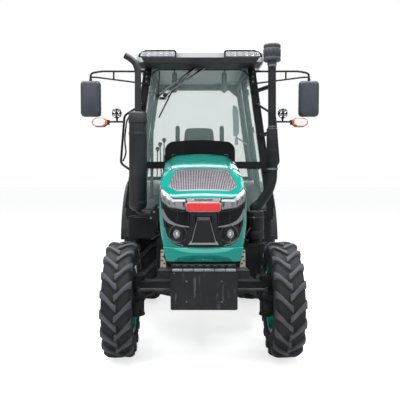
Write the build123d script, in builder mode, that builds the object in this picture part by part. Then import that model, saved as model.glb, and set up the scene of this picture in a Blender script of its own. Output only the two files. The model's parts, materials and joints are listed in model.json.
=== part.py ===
from build123d import *
import os
from math import atan, cos, pi, radians, sin, sqrt, tan

os.makedirs("parts", exist_ok=True)

# Compact four-wheel-drive farm tractor with a cab. Millimetres, floor at z = 0.
# The front faces -Y, and +X is the tractor's left side.

# Driving dimensions
wheelbase = 2050
front_overhang = 660  # front axle to the face of the weight plate
rear_overhang = 1040  # rear axle to the tips of the lower links
front_axle_y = (front_overhang - wheelbase - rear_overhang) / 2
rear_axle_y = front_axle_y + wheelbase
seat_gap = 0.3  # between pieces that lie on each other
spin_gap = 0.5  # between a turning piece and what carries it

front_tyre_diameter = 945
front_tyre_width = 241
front_rim_diameter = 508
front_rim_width = 190
front_track = 1330
rear_tyre_diameter = 1365
rear_tyre_width = 378
rear_rim_diameter = 711
rear_rim_width = 330
rear_track = 1300
front_wheel_z = front_tyre_diameter / 2
rear_wheel_z = rear_tyre_diameter / 2
wheel_sides = 18  # flats round a wheel, one for each lug of a side


def behind(distance):
    """Y of a place so far behind the front axle."""
    return front_axle_y + distance


def finish(builder, name):
    builder.part.label = name
    export_step(builder.part, f"parts/{name}.step")


def span(side, near, far):
    """A range of X on one side, from the middle outwards, as (low, high)."""
    return tuple(sorted((side * near, side * far)))


def block(x, y, z, mode=Mode.ADD):
    """A box between two corners, each axis given as (low, high)."""
    middle = [(axis[0] + axis[1]) / 2 for axis in (x, y, z)]
    with Locations(tuple(middle)):
        Box(x[1] - x[0], y[1] - y[0], z[1] - z[0], mode=mode)


def rod(start, end, radius, mode=Mode.ADD):
    """A round bar between two points."""
    run = Vector(*end) - Vector(*start)
    with BuildSketch(Plane(start, z_dir=run)) as section:
        Circle(radius)
    extrude(section.sketch, amount=run.length, mode=mode)


def bar(start, end, radius, sides=10, mode=Mode.ADD):
    """A bar with flats between two points."""
    run = Vector(*end) - Vector(*start)
    with BuildSketch(Plane(start, z_dir=run)) as section:
        RegularPolygon(radius, sides)
    extrude(section.sketch, amount=run.length, mode=mode)


def pipe(points, radius, cut, sides=8):
    """A tube along straight runs, with each corner cut off by a short run."""
    route = [Vector(*points[0])]
    for before, corner, after in zip(points, points[1:], points[2:]):
        corner = Vector(*corner)
        route += [corner + (Vector(*other) - corner).normalized() * cut for other in (before, after)]
    route.append(Vector(*points[-1]))
    with BuildLine() as line:
        Polyline(*route)
    with BuildSketch(Plane(line.line @ 0, z_dir=line.line % 0)) as section:
        RegularPolygon(radius, sides)
    sweep(section.sketch, path=line.line, transition=Transition.RIGHT)


# Wheels. Each is made about its own Z axis, with +Z towards the outside of the tractor.
# name: rim diameter, rim width, tyre diameter, tyre width, lug height, lug half-width
wheel_sizes = {
    "front": (front_rim_diameter, front_rim_width, front_tyre_diameter, front_tyre_width, 26, 15),
    "rear": (rear_rim_diameter, rear_rim_width, rear_tyre_diameter, rear_tyre_width, 33, 20),
}
tread_share = 0.64  # half-width of the flat tread, as a share of the tyre's


def ring_sector(section, sides):
    """One flat-faced sector of a ring about Z, from its (radius, height) section."""
    half_turn = pi / sides
    reach = max(point[0] for point in section)
    with BuildPart() as sector:
        with BuildSketch(Plane.XZ):
            Polygon(*section, align=None)
        extrude(amount=reach * tan(half_turn) + 1, both=True)
        for hand in (-1, 1):
            mitre = Plane((0, 0, 0), z_dir=(-sin(half_turn), hand * cos(half_turn), 0))
            split(bisect_by=mitre, keep=Keep.BOTTOM)
    return sector.part


def faceted_ring(section, sides):
    sector = ring_sector(section, sides)
    with BuildPart() as ring:
        with PolarLocations(0, sides):
            add(sector)
    return ring.part


def tyre_lug(outer, width, height, half_bar, side):
    """One bar of the chevron tread: across the tread, then down over the shoulder."""
    sweep_back = 0.46 * width
    shoulder_drop = 0.9 * height
    depth = height + 46
    tip = sqrt(outer**2 - (sweep_back / 2 + half_bar) ** 2)
    # share of the half-width, share of the sweep, drop of the tip
    stations = [(-0.06, 0.5, 0), (tread_share, -0.24, 0), (1, -0.5, shoulder_drop)]
    with BuildPart() as lug:
        for ends in zip(stations, stations[1:]):
            for share, along, drop in ends:
                shift = along * sweep_back
                with BuildSketch(Plane.XY.offset(side * share * width / 2)):
                    Polygon(
                        (tip - drop - depth, shift - half_bar - 9), (tip - drop, shift - half_bar),
                        (tip - drop, shift + half_bar), (tip - drop - depth, shift + half_bar + 9),
                        align=None,
                    )
            loft(ruled=True)
    return lug.part


def tyre(place, size):
    rim_diameter, _, diameter, width, height, half_bar = wheel_sizes[size]
    outer = diameter / 2
    crown = outer - height
    seat = rim_diameter / 2 + seat_gap
    half = width / 2
    bulge = seat + 0.46 * (crown - seat)
    right = [(seat, 0.74 * half), (bulge, half), (crown, tread_share * half)]
    section = [(r, -z) for r, z in right] + right[::-1]
    carcass = faceted_ring(section, wheel_sides)
    lugs = [tyre_lug(outer, width, height, half_bar, side) for side in (-1, 1)]
    with BuildPart(place) as made:
        add(carcass)
        with PolarLocations(0, wheel_sides):
            add(lugs[0])
        with PolarLocations(0, wheel_sides, start_angle=180 / wheel_sides):
            add(lugs[1])
    return made


def rim(place, size, disc, hub_in, hub_radius, cap_out, cap_radius):
    """Steel rim and dished disc with its hub, about the wheel's axis."""
    rim_diameter, width = wheel_sizes[size][:2]
    half = width / 2
    seat = rim_diameter / 2
    wall = 9
    lip = 20
    section = [
        (seat, -half), (seat + lip, -half - 10), (seat - wall, -half - 7), (seat - wall, disc - 6),
        (hub_radius + 40, disc - 6), (hub_radius, hub_in), (30, hub_in), (30, cap_out), (cap_radius, cap_out),
        (cap_radius + 12, disc + 6), (seat - wall, disc + 6), (seat - wall, half + 7),
        (seat + lip, half + 10), (seat, half),
    ]
    barrel = faceted_ring(section, wheel_sides)
    hole_ring = (seat - wall + hub_radius + 40) / 2
    hole_radius = 0.3 * (seat - wall - hub_radius - 40)
    with BuildPart(place) as made:
        add(barrel)
        with Locations((0, 0, (hub_in + cap_out) / 2)):
            Cylinder(31, cap_out - hub_in)
        with BuildSketch(place.offset(disc - 30)) as holes:
            with PolarLocations(hole_ring, wheel_sides // 3):
                RegularPolygon(hole_radius, 6)
        extrude(holes.sketch, amount=60, mode=Mode.SUBTRACT)
    return made


# size, track, axle Y, wheel Z, disc, hub's inner end, hub radius, cap's outer end, cap radius
wheels = [
    ("front", front_track, front_axle_y, front_wheel_z, 0, -24, 72, 74, 62),
    ("rear", rear_track, rear_axle_y, rear_wheel_z, -110, -130, 100, -40, 70),
]
front_hub_in = wheels[0][5]
rear_hub_in = wheels[1][5]

for size, track, axle_y, wheel_z, disc, hub_in, hub_radius, cap_out, cap_radius in wheels:
    place = Plane((track / 2, axle_y, wheel_z), x_dir=(0, 1, 0), z_dir=(1, 0, 0))
    for name, made in (
        ("tyre", tyre(place, size)),
        ("rim", rim(place, size, disc, hub_in, hub_radius, cap_out, cap_radius)),
    ):
        finish(made, f"{size}_{name}_left")
        with BuildPart() as other:
            add(made.part)
            mirror(about=Plane.YZ, mode=Mode.REPLACE)
        finish(other, f"{size}_{name}_right")

# Front axle: a cast beam above the wheel centres, with gear cases that turn about the kingpins
beam_z = (500, 625)
beam_half_depth = 65
beam_boss_rear = 110
beam_boss_radius = 78
kingpin_x = 545
kingpin_cap_radius = 66
kingpin_cap_top = 668
kingpin_split_z = 556
beam_z_over_arm = kingpin_split_z + 2
axle_centre_z = 556
with BuildPart() as front_axle:
    with BuildSketch(Plane.XZ.offset(-front_axle_y)):
        top = [(120, 640), (250, beam_z[1]), (kingpin_x, beam_z[1])]
        under = [
            (kingpin_x, beam_z_over_arm), (kingpin_x - 125, beam_z_over_arm), (kingpin_x - 150, 530),
            (260, beam_z[0]), (120, 470),
        ]
        half_outline = top + under
        Polygon(*half_outline, *[(-x, z) for x, z in reversed(half_outline)], align=None)
    extrude(amount=beam_half_depth - 10, both=True)
    bar((0, front_axle_y - beam_half_depth, axle_centre_z), (0, behind(beam_boss_rear), axle_centre_z),
        beam_boss_radius, 16)
    for side in (-1, 1):
        bar((side * kingpin_x, front_axle_y, kingpin_split_z + spin_gap),
            (side * kingpin_x, front_axle_y, kingpin_cap_top), kingpin_cap_radius, 16)
finish(front_axle, "front_axle")

# Steering: the cases carry an arm forward to the double-ended cylinder ahead of the beam
arm_reach = 150
arm_eye_x = 518
arm_z = (526, 552)
steer_cylinder_z = 576
steer_rod_radius = 12
case_radius = 64
case_low_z = 330
knuckle_hub_radius = 80
front_hub_end = front_track / 2 + front_hub_in - spin_gap
for hand, side in (("left", 1), ("right", -1)):
    with BuildPart() as knuckle:
        rod((side * kingpin_x, front_axle_y, case_low_z), (side * kingpin_x, front_axle_y, kingpin_split_z),
            case_radius)
        rod((side * kingpin_x, front_axle_y, front_wheel_z), (side * front_hub_end, front_axle_y, front_wheel_z),
            knuckle_hub_radius)
        with BuildSketch(Plane.XY.offset(arm_z[0])):
            root = [(side * (kingpin_x + x), front_axle_y) for x in (-50, 20)]
            tip = [(side * (arm_eye_x + x), behind(-arm_reach)) for x in (18, -18)]
            Polygon(*root, *tip, align=None)
            with Locations((side * arm_eye_x, behind(-arm_reach))):
                Circle(20)
        extrude(amount=arm_z[1] - arm_z[0])
        chamfer(knuckle.edges().filter_by(GeomType.CIRCLE).sort_by(Axis.Z)[0], 14)
    finish(knuckle, f"knuckle_{hand}")

cylinder_half = 235
frame_front_plate = (-96, -66)  # the front frame's plate ahead of the axle, in places behind the axle
with BuildPart() as steering_cylinder:
    bar((-cylinder_half, behind(-arm_reach), steer_cylinder_z),
        (cylinder_half, behind(-arm_reach), steer_cylinder_z), 34, 14)
    for x in (-110, 110):
        block((x - 22, x + 22), (behind(-arm_reach), behind(frame_front_plate[0]) - seat_gap), (560, 592))
    rod((-cylinder_half - 1, behind(-arm_reach), steer_cylinder_z),
        (cylinder_half + 1, behind(-arm_reach), steer_cylinder_z), steer_rod_radius + 1, mode=Mode.SUBTRACT)
finish(steering_cylinder, "steering_cylinder")

with BuildPart() as steering_rod:
    rod((-arm_eye_x, behind(-arm_reach), steer_cylinder_z), (arm_eye_x, behind(-arm_reach), steer_cylinder_z),
        steer_rod_radius)
    for side in (-1, 1):
        with Locations((side * arm_eye_x, behind(-arm_reach), steer_cylinder_z)):
            Cylinder(16, 40)
finish(steering_rod, "steering_rod")

# Backbone: front cradle, engine, gearbox and rear axle, bolted end to end
cradle_front = -600
engine_span = (150, 800)
engine_z = (600, 1290)
engine_half = 225
gearbox_span = (800, 1750)
rear_case_span = (1750, 2300)
cradle_half = 175
cradle_wall = 25
cradle_z = (641, 800)
frame_rear_plate = (beam_boss_rear + 0.5, 140)
with BuildPart() as front_frame:
    with BuildSketch(Plane.XY.offset(cradle_z[0])):
        with Locations((0, (behind(cradle_front) + behind(engine_span[0])) / 2)):
            Rectangle(2 * cradle_half, engine_span[0] - cradle_front - seat_gap)
            Rectangle(2 * (cradle_half - cradle_wall), engine_span[0] - cradle_front - 60, mode=Mode.SUBTRACT)
    extrude(amount=cradle_z[1] - cradle_z[0])
    for near, far in (frame_front_plate, frame_rear_plate):
        block((-160, 160), (behind(near), behind(far)), (beam_z[0], 720))
finish(front_frame, "front_frame")

plate_half = 238
plate_z = (542, 801)
plate_strip_z = 823
bolt_x = 125
bolt_z = (600, 745)
bolt_radius = 9
with BuildPart() as weight_plate:
    with BuildSketch(Plane.XZ.offset(-behind(-front_overhang))):
        with Locations((0, (plate_z[0] + plate_z[1]) / 2)):
            RectangleRounded(2 * plate_half, plate_z[1] - plate_z[0], 12)
    extrude(amount=-(front_overhang + cradle_front - seat_gap))
    block((4 - plate_half, plate_half - 4), (behind(6 - front_overhang), behind(50 - front_overhang)),
          (plate_z[1], plate_strip_z))
    places = [(x, behind(-front_overhang), z) for x in (-bolt_x, bolt_x) for z in bolt_z]
    with Locations(*[Location(place, (90, 0, 0)) for place in places]):
        Hole(bolt_radius, 60)
finish(weight_plate, "weight_plate")

radiator_span = (-330, -220)
with BuildPart() as radiator:
    block((-255, 255), (behind(radiator_span[0]), behind(radiator_span[1])), (cradle_z[1] + seat_gap, 1215))
    block((-225, 225), (behind(radiator_span[0] - 18), behind(radiator_span[0])), (860, 1170))
finish(radiator, "radiator")

with BuildPart() as engine:
    block((-engine_half, engine_half), (behind(engine_span[0]), behind(engine_span[1])), engine_z)
finish(engine, "engine")


def housing(half, foot_half, top_half, low, waist, shoulder, top):
    """A cast case's eight-sided section, from half-widths and heights."""
    right = [(foot_half, low), (half, waist), (half, shoulder), (top_half, top)]
    Polygon(*right, *[(-x, z) for x, z in reversed(right)], align=None)


bell_length = 260
with BuildPart() as gearbox:
    with BuildSketch(Plane.XZ.offset(-behind(gearbox_span[0] + seat_gap))):
        housing(230, 170, 150, 480, 560, 860, 930)
    with BuildSketch(Plane.XZ.offset(-behind(gearbox_span[0] + bell_length))):
        housing(185, 150, 130, 480, 560, 820, 880)
    loft(ruled=True)
    with BuildSketch(Plane.XZ.offset(-behind(gearbox_span[0] + bell_length))):
        housing(185, 150, 130, 480, 560, 820, 880)
    extrude(amount=-(gearbox_span[1] - gearbox_span[0] - bell_length - seat_gap))
finish(gearbox, "gearbox")

rear_case_low = 470
rear_case_top = 900
trumpet_end = rear_track / 2 + rear_hub_in - spin_gap
with BuildPart() as rear_axle:
    with BuildSketch(Plane.XZ.offset(-behind(rear_case_span[0] + seat_gap))):
        housing(190, 150, 130, rear_case_low, 560, 840, rear_case_top)
    extrude(amount=-(rear_case_span[1] - rear_case_span[0]))
    for side in (-1, 1):
        for x, radius in ((150, 135), (trumpet_end, 88)):
            end = Plane((side * x, rear_axle_y, rear_wheel_z), x_dir=(0, 1, 0), z_dir=(side, 0, 0))
            with BuildSketch(end):
                RegularPolygon(radius, 16)
        loft(ruled=True)
finish(rear_axle, "rear_axle")

with BuildPart() as drive_shaft:
    bar((0, behind(frame_rear_plate[1] + seat_gap), 545), (0, behind(gearbox_span[0]), 545), 32)
finish(drive_shaft, "drive_shaft")

# Cab: side frames lie in planes that lean inwards, and the doors fill them
cab_floor_z = 1080
floor_thickness = 40
cab_base_z = 1100
cab_half_base = 765
cab_lean = 0.139
lean_angle = atan(cab_lean)
cab_top_z = 2660
pillar = 62
frame_depth = 60
cab_front = 1040
cab_rear = 2440
door_post = 1850  # middle of the pillar that carries the door
sill_height = 50
header_height = 60
window_top_z = cab_top_z - header_height
fender_inner_radius = 740
fender_wall = 12
fender_outer_radius = fender_inner_radius + fender_wall
floor_half = 428
fender_x = (floor_half + seat_gap, 850)
floor_step_s = 1385  # where the floor narrows between the fenders


def side_plane(side, depth=0):
    """The leaning plane of a cab side, with x along the tractor and y up the lean."""
    normal = Vector(side * cos(lean_angle), 0, sin(lean_angle))
    origin = Vector(side * cab_half_base, 0, cab_base_z) - normal * depth
    return Plane(origin, x_dir=(0, side, 0), z_dir=normal)


def up_lean(z):
    return (z - cab_base_z) / cos(lean_angle)


def cab_half(z):
    return cab_half_base - cab_lean * (z - cab_base_z)


def clear_fenders(gap):
    """Cuts away the space of both fenders and what is under them."""
    for side in (-1, 1):
        middle = side * (floor_half + 1000) / 2
        with Locations(Location((middle, rear_axle_y, rear_wheel_z), (0, 90, 0))):
            Cylinder(fender_outer_radius + gap, 1000 - floor_half, mode=Mode.SUBTRACT)


def side_outline(side, front, rear, low, high):
    """A four-sided outline on the leaning side plane."""
    return [
        (side * behind(front), up_lean(low)), (side * behind(rear), up_lean(low)),
        (side * behind(rear), up_lean(high)), (side * behind(front), up_lean(high)),
    ]


hinge_out = 12  # hinge line outside the cab's side
hinge_radius = 9
hinge_pin = 4
hinge_leaf = 44
hinge_half_height = 30
door_gap = 6
door_rear = door_post - pillar / 2 - door_gap
hinge_s = door_rear + door_gap / 2
hinge_heights = (1560, 2000, 2440)


def hinge_part(side, toward, low, bore):
    """Half of each door hinge: a leaf that reaches forward (-1) or back (1), and its barrel."""
    plane = side_plane(side)
    sink = 2 if toward < 0 else 0
    for z in hinge_heights:
        base = up_lean(z) + low
        with BuildSketch(plane.offset(hinge_out)) as leaf:
            near, far = (side * behind(hinge_s + toward * reach) for reach in (0, hinge_leaf))
            top = base + hinge_half_height
            Polygon((near, base), (far, base), (far, top), (near, top), align=None)
        add(Solid.extrude(leaf.sketch.face(), plane.z_dir * -(hinge_out + sink)))
        foot = plane.from_local_coords((side * behind(hinge_s), base, hinge_out))
        with BuildSketch(Plane(foot, z_dir=plane.y_dir)) as ring:
            RegularPolygon(hinge_radius, 8)
        add(Solid.extrude(ring.sketch.face(), plane.y_dir * hinge_half_height))
        if bore:
            hole = Plane(foot - plane.y_dir * 20, z_dir=plane.y_dir)
            add(Solid.make_cylinder(hinge_pin + bore, 64, plane=hole), mode=Mode.SUBTRACT)
        else:
            upright = Plane(foot, z_dir=plane.y_dir)
            add(Solid.make_cylinder(hinge_pin, 2 * hinge_half_height + 1, plane=upright))


def across(low, high, margin, corner=0):
    """An outline across the cab between two heights, its top corners cut off."""
    right = [(cab_half(low) - margin, low)]
    if corner:
        right += [(cab_half(high - corner) - margin, high - corner), (cab_half(high) - margin - corner, high)]
    else:
        right += [(cab_half(high) - margin, high)]
    return right + [(-x, z) for x, z in reversed(right)]


crossbar_z = (1566, 1638)
screen_low_z = 1130
rear_window_z = (1480, window_top_z - 8)
window_corner = 90
glass_wall = 6
frame_margin = frame_depth + 4
with BuildPart() as cab_frame:
    for side in (-1, 1):
        with BuildSketch(side_plane(side)):
            Polygon(*side_outline(side, cab_front, cab_rear, cab_floor_z, cab_top_z), align=None)
            for front, rear in (
                (cab_front + pillar, door_post - pillar / 2), (door_post + pillar / 2, cab_rear - pillar),
            ):
                opening = side_outline(side, front, rear, cab_floor_z + sill_height, window_top_z)
                Polygon(*opening, align=None, mode=Mode.SUBTRACT)
        extrude(amount=-frame_depth)
    # front and rear frames between the side frames: face, then each window's heights and corner
    for face_y, windows in (
        (behind(cab_front), ((screen_low_z, crossbar_z[0], 0), (crossbar_z[1], window_top_z, 0))),
        (behind(cab_rear) - pillar, ((*rear_window_z, window_corner),)),
    ):
        with BuildSketch(Plane.XZ.offset(-face_y)):
            Polygon(*across(cab_floor_z, cab_top_z, 20), align=None)
            for low, high, corner in windows:
                Polygon(*across(low, high, frame_margin, corner), align=None, mode=Mode.SUBTRACT)
        extrude(amount=-pillar)
    for side in (-1, 1):
        hinge_part(side, 1, 0, 0)
    clear_fenders(seat_gap)
    block((-2000, 2000), (-3000, 3000), (cab_floor_z - 200, cab_floor_z), mode=Mode.SUBTRACT)
    block((-2000, 2000), (-3000, 3000), (cab_top_z, cab_top_z + 200), mode=Mode.SUBTRACT)
finish(cab_frame, "cab_frame")

floor_half_front = 755
floor_low_z = cab_floor_z - floor_thickness
with BuildPart() as cab_floor:
    with BuildSketch(Plane.XY.offset(floor_low_z)):
        right = [
            (floor_half_front, behind(cab_front)), (floor_half_front, behind(floor_step_s)),
            (floor_half, behind(floor_step_s)), (floor_half, behind(cab_rear)),
        ]
        Polygon(*right, *[(-x, y) for x, y in reversed(right)], align=None)
    extrude(amount=floor_thickness - seat_gap)
finish(cab_floor, "cab_floor")

fender_lip = 26
with BuildPart() as fenders:
    for side in (-1, 1):
        inner_x, outer_x = fender_x
        wheel_plane = Plane((side * inner_x, rear_axle_y, rear_wheel_z), x_dir=(0, 1, 0), z_dir=(1, 0, 0))
        below = [(-900, -900), (900, -900), (900, 250), (0, 250), (-900, 90)]
        with BuildSketch(wheel_plane) as arch:
            Circle(fender_outer_radius)
            Circle(fender_inner_radius, mode=Mode.SUBTRACT)
            Polygon(*below, align=None, mode=Mode.SUBTRACT)
        extrude(arch.sketch, amount=side * (outer_x - inner_x))
        # the outer edge turns in towards the tyre
        with BuildSketch(wheel_plane.offset(side * (outer_x - inner_x - fender_wall))) as edge:
            Circle(fender_outer_radius - 1)
            Circle(fender_inner_radius - fender_lip, mode=Mode.SUBTRACT)
            Polygon(*below, align=None, mode=Mode.SUBTRACT)
        extrude(edge.sketch, amount=side * fender_wall)
        with BuildSketch(wheel_plane) as cheek:
            Circle(fender_inner_radius + 1)
            floor_level = floor_low_z - rear_wheel_z
            Polygon((-900, -900), (900, -900), (900, floor_level), (-900, floor_level), align=None,
                    mode=Mode.SUBTRACT)
            Polygon((390, 0), (900, 0), (900, 900), (390, 900), align=None, mode=Mode.SUBTRACT)
        extrude(cheek.sketch, amount=side * fender_wall)
finish(fenders, "fenders")

# Glass and doors, set in the openings of the cab frame
door_thickness = 34
door_rim = 46
door_front = cab_front + pillar + door_gap
door_low = cab_floor_z + sill_height + door_gap
door_high = window_top_z - door_gap
door_arc_gap = 18


def side_panel(side, front, rear, low, high, depth, thickness, arc_gap, mode=Mode.ADD):
    """A panel in the leaning side, its lower corner cut round the fender."""
    with BuildSketch(side_plane(side, depth)) as outline:
        Polygon(*side_outline(side, front, rear, low, high), align=None)
    cutter = Plane((0, rear_axle_y, rear_wheel_z), x_dir=(0, 1, 0), z_dir=(1, 0, 0))
    panel = Solid.extrude(outline.sketch.face(), side_plane(side).z_dir * -thickness)
    arc = Solid.make_cylinder(fender_outer_radius + arc_gap, 2000, plane=cutter.offset(-1000))
    add(panel - arc, mode=mode)


handle_s = door_front + 20
handle_z = (1500, 1620)
for hand, side in (("left", 1), ("right", -1)):
    with BuildPart() as door:
        side_panel(side, door_front, door_rear, door_low, door_high, 2, door_thickness, door_arc_gap)
        side_panel(
            side, door_front + door_rim, door_rear - door_rim, door_low + door_rim, door_high - door_rim,
            0, door_thickness + 4, door_arc_gap + door_rim, mode=Mode.SUBTRACT,
        )
        hinge_part(side, -1, hinge_half_height + 1, spin_gap)
        side_panel(side, handle_s, handle_s + 22, *handle_z, -14, 20, 0)
    finish(door, f"door_{hand}")
    rim_in = door_rim + seat_gap
    with BuildPart() as pane:
        side_panel(side, door_front + rim_in, door_rear - rim_in, door_low + rim_in, door_high - rim_in,
                   14, glass_wall, door_arc_gap + rim_in)
    finish(pane, f"door_glass_{hand}")


def cross_pane(y, low, high, corner=0):
    """Glass across the cab between two heights."""
    with BuildSketch(Plane.XZ.offset(-y)) as outline:
        Polygon(*across(low + seat_gap, high - seat_gap, frame_margin + seat_gap, corner), align=None)
    extrude(outline.sketch, amount=-glass_wall)


with BuildPart() as windscreen:
    cross_pane(behind(cab_front + 8), crossbar_z[1], window_top_z)
    cross_pane(behind(cab_front + 8), screen_low_z, crossbar_z[0])
finish(windscreen, "windscreen")

with BuildPart() as rear_glass:
    cross_pane(behind(cab_rear - 20), *rear_window_z, window_corner)
    for side in (-1, 1):
        side_panel(
            side, door_post + pillar / 2 + seat_gap, cab_rear - pillar - seat_gap,
            cab_floor_z, window_top_z - seat_gap, 22, glass_wall, 2 * seat_gap,
        )
finish(rear_glass, "rear_glass")

# Roof, visor and lamp bars
roof_front = 780
roof_rear = 2560
roof_half = 635
roof_top_z = 2740
roof_skirt_z = 2620
roof_corner = 110
with BuildPart() as cab_roof:
    with BuildSketch(Plane.XY.offset(roof_skirt_z)):
        with Locations((0, behind((roof_front + roof_rear) / 2))):
            RectangleRounded(2 * roof_half, roof_rear - roof_front, roof_corner)
    extrude(amount=roof_top_z - roof_skirt_z)
    chamfer(cab_roof.faces().sort_by(Axis.Z)[-1].edges(), 34)
    with BuildSketch(Plane.XZ.offset(-behind(cab_front) + seat_gap)) as under:
        Polygon(*across(roof_skirt_z - 1, cab_top_z + seat_gap, -seat_gap), align=None)
    extrude(under.sketch, amount=-(cab_rear - cab_front + 2 * seat_gap), mode=Mode.SUBTRACT)
finish(cab_roof, "cab_roof")

visor_depth = 60
visor_half = 600
visor_z = (2590, 2641)
lamp_bar_x = (232, 600)
lamp_bar_top = 2716
wiper_hub = (-370, 2300)
with BuildPart() as roof_visor:
    with BuildSketch(Plane.XY.offset(visor_z[0])):
        back, front = behind(roof_front) - seat_gap, behind(roof_front - visor_depth)
        Polygon((-visor_half, back), (-visor_half + 40, front), (visor_half - 40, front), (visor_half, back),
                align=None)
    extrude(amount=visor_z[1] - visor_z[0])
    wiper_y = behind(cab_front) - 15
    block((-95, 0), (wiper_y - 9, behind(cab_front) - seat_gap), (window_top_z - 2, window_top_z + 19))
    hub_x, hub_z = wiper_hub
    for shift in (0, 26):
        bar((-50 - shift, wiper_y, window_top_z + 5), (hub_x + 40 - shift, wiper_y, hub_z), 5, 6)
    bar((hub_x + 90, wiper_y + 3, hub_z + 70), (hub_x - 50, wiper_y + 3, hub_z - 210), 7, 6)
finish(roof_visor, "roof_visor")

with BuildPart() as roof_lamps:
    for side in (-1, 1):
        with BuildSketch(Plane.XY.offset(visor_z[1] + seat_gap)):
            near, far = (side * x for x in lamp_bar_x)
            back, front = behind(roof_front) - seat_gap, behind(roof_front - visor_depth + 8)
            Polygon((near, back), (near, front), (far - side * 60, front), (far, back), align=None)
        extrude(amount=lamp_bar_top - visor_z[1] - seat_gap)
finish(roof_lamps, "roof_lamps")

# Bonnet: the plan, the side view, the front view and the crown cut one form between them
hood_rear = 860
hood_nose = -522
hood_half = 345
hood_low_z = 858  # under the bumper
hood_wall = 14
under_cut = 40  # how far the inner forms reach past the open underside and rear
bumper_nose = -545
bumper_rear = -335
bumper_z = (hood_low_z, 965)
bow_section = [(352, 22), (236, 9), (96, 0)]
shoulder_section = [(362, 84), (232, 0)]
# half-width and height of the sides in front view
hood_sides = [(276, hood_low_z - 100), (276, hood_low_z), (316, 1000), (350, 1190), (350, 1900)]
# the top, front to rear: distance behind the front axle, height and slope in side view, then the right half
# of its section as half-width and drop. The last one bevels the shoulders, more towards the rear.
hood_tops = [
    (-490, 1352, 0.42, bow_section), (100, 1559, 0.34, bow_section), (hood_rear, 1712, 0.20, bow_section),
    (hood_rear, 1706, 0.17, shoulder_section),
]


def hood_plan(nose, inset, rear):
    """The bonnet's outline from above: a bowed nose with tight corners."""
    wing, corner = (hood_half - 8 - inset, behind(nose + 165)), (205 - inset / 2, behind(nose + 20 + inset))
    bend = (298 - inset, behind(nose + 72 + inset / 2))
    with BuildLine() as plan:
        ThreePointArc((-corner[0], corner[1]), (0, behind(nose + inset)), corner)
        ThreePointArc(corner, bend, wing)
        Polyline(wing, (hood_half + 5 - inset, behind(rear)), (-hood_half - 5 + inset, behind(rear)),
                 (-wing[0], wing[1]))
        ThreePointArc((-wing[0], wing[1]), (-bend[0], bend[1]), (-corner[0], corner[1]))
    make_face(plan.edges())


def cut_to_front_view(inset):
    """The sides draw in below the lamps."""
    with BuildSketch(Plane.XZ.offset(-behind(-700))) as view:
        right = [(x - inset, z) for x, z in hood_sides]
        Polygon(*right, *[(-x, z) for x, z in reversed(right)], align=None)
    extrude(view.sketch, amount=-1800, mode=Mode.INTERSECT)


def hood_form(inset, open_below=0):
    """The bonnet's outer form, taken in by a wall or so."""
    with BuildPart() as form:
        with BuildSketch(Plane.XY.offset(700)):
            hood_plan(hood_nose, inset, hood_rear + open_below)
        extrude(amount=1200)
        with BuildSketch(Plane.YZ) as side_view:
            rear, low = hood_rear + open_below, hood_low_z - open_below
            outline = [
                (-560, low), (-330, low), (-250, 1010 - open_below), (rear, 1200 - open_below), (rear, 1900),
                (-450 + inset, 1560), (-500 + inset, 1340), (-523 + inset, 1200), (-560, 1000),
            ]
            Polygon(*[(behind(s), z) for s, z in outline], align=None)
        extrude(side_view.sketch, amount=600, both=True, mode=Mode.INTERSECT)
        cut_to_front_view(inset)
        for s, z, slope, crown in hood_tops:
            top = z - slope * (s + 700) - inset
            right = [(352 - inset, top - 1400)] + [(x - inset, top - drop) for x, drop in crown]
            with BuildSketch(Plane.XZ.offset(-behind(-700))) as section:
                Polygon(*right, *[(-x, height) for x, height in reversed(right)], align=None)
            extrude(section.sketch, amount=1800, dir=(0, 1, slope), mode=Mode.INTERSECT)
    return form.part


hood_hinge_s = 872
hood_hinge_z = 1700
hood_hinge_x = (262, 282)
cowl_lug_x = (241, 261)
hood_outer = hood_form(0)
hood_inner = hood_form(hood_wall, open_below=under_cut)
# outline of the opening that the black front fills, right half, from the top down
front_opening = [
    (0, 1327), (228, 1327), (324, 1412), (332, 1350), (320, 1300), (306, 1200), (280, 1050), (243, 1005),
    (193, 978), (0, 966),
]
# outline of the perforated panel on the top, right half: half-width and distance behind the front axle
top_opening = [(196, -400), (268, -300), (226, 60), (130, 108)]


def mirrored(points):
    return points + [(-x, z) for x, z in reversed(points) if x > 0]


def front_layer(points, near, far, gap=0):
    """What lies between two depths under the bonnet's skin, within an outline seen from the front."""
    with BuildSketch(Plane.XZ.offset(-behind(-700))) as outline:
        Polygon(*points, align=None)
        if gap:
            offset(amount=-gap)
    column = Solid.extrude(outline.sketch.face(), Vector(0, 480, 0))
    return (hood_form(near) - hood_form(far, open_below=under_cut)) & column


def top_outline():
    front = [(x, behind(s)) for x, s in top_opening]
    Polygon(*front, *[(-x, y) for x, y in reversed(front)], align=None)


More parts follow.
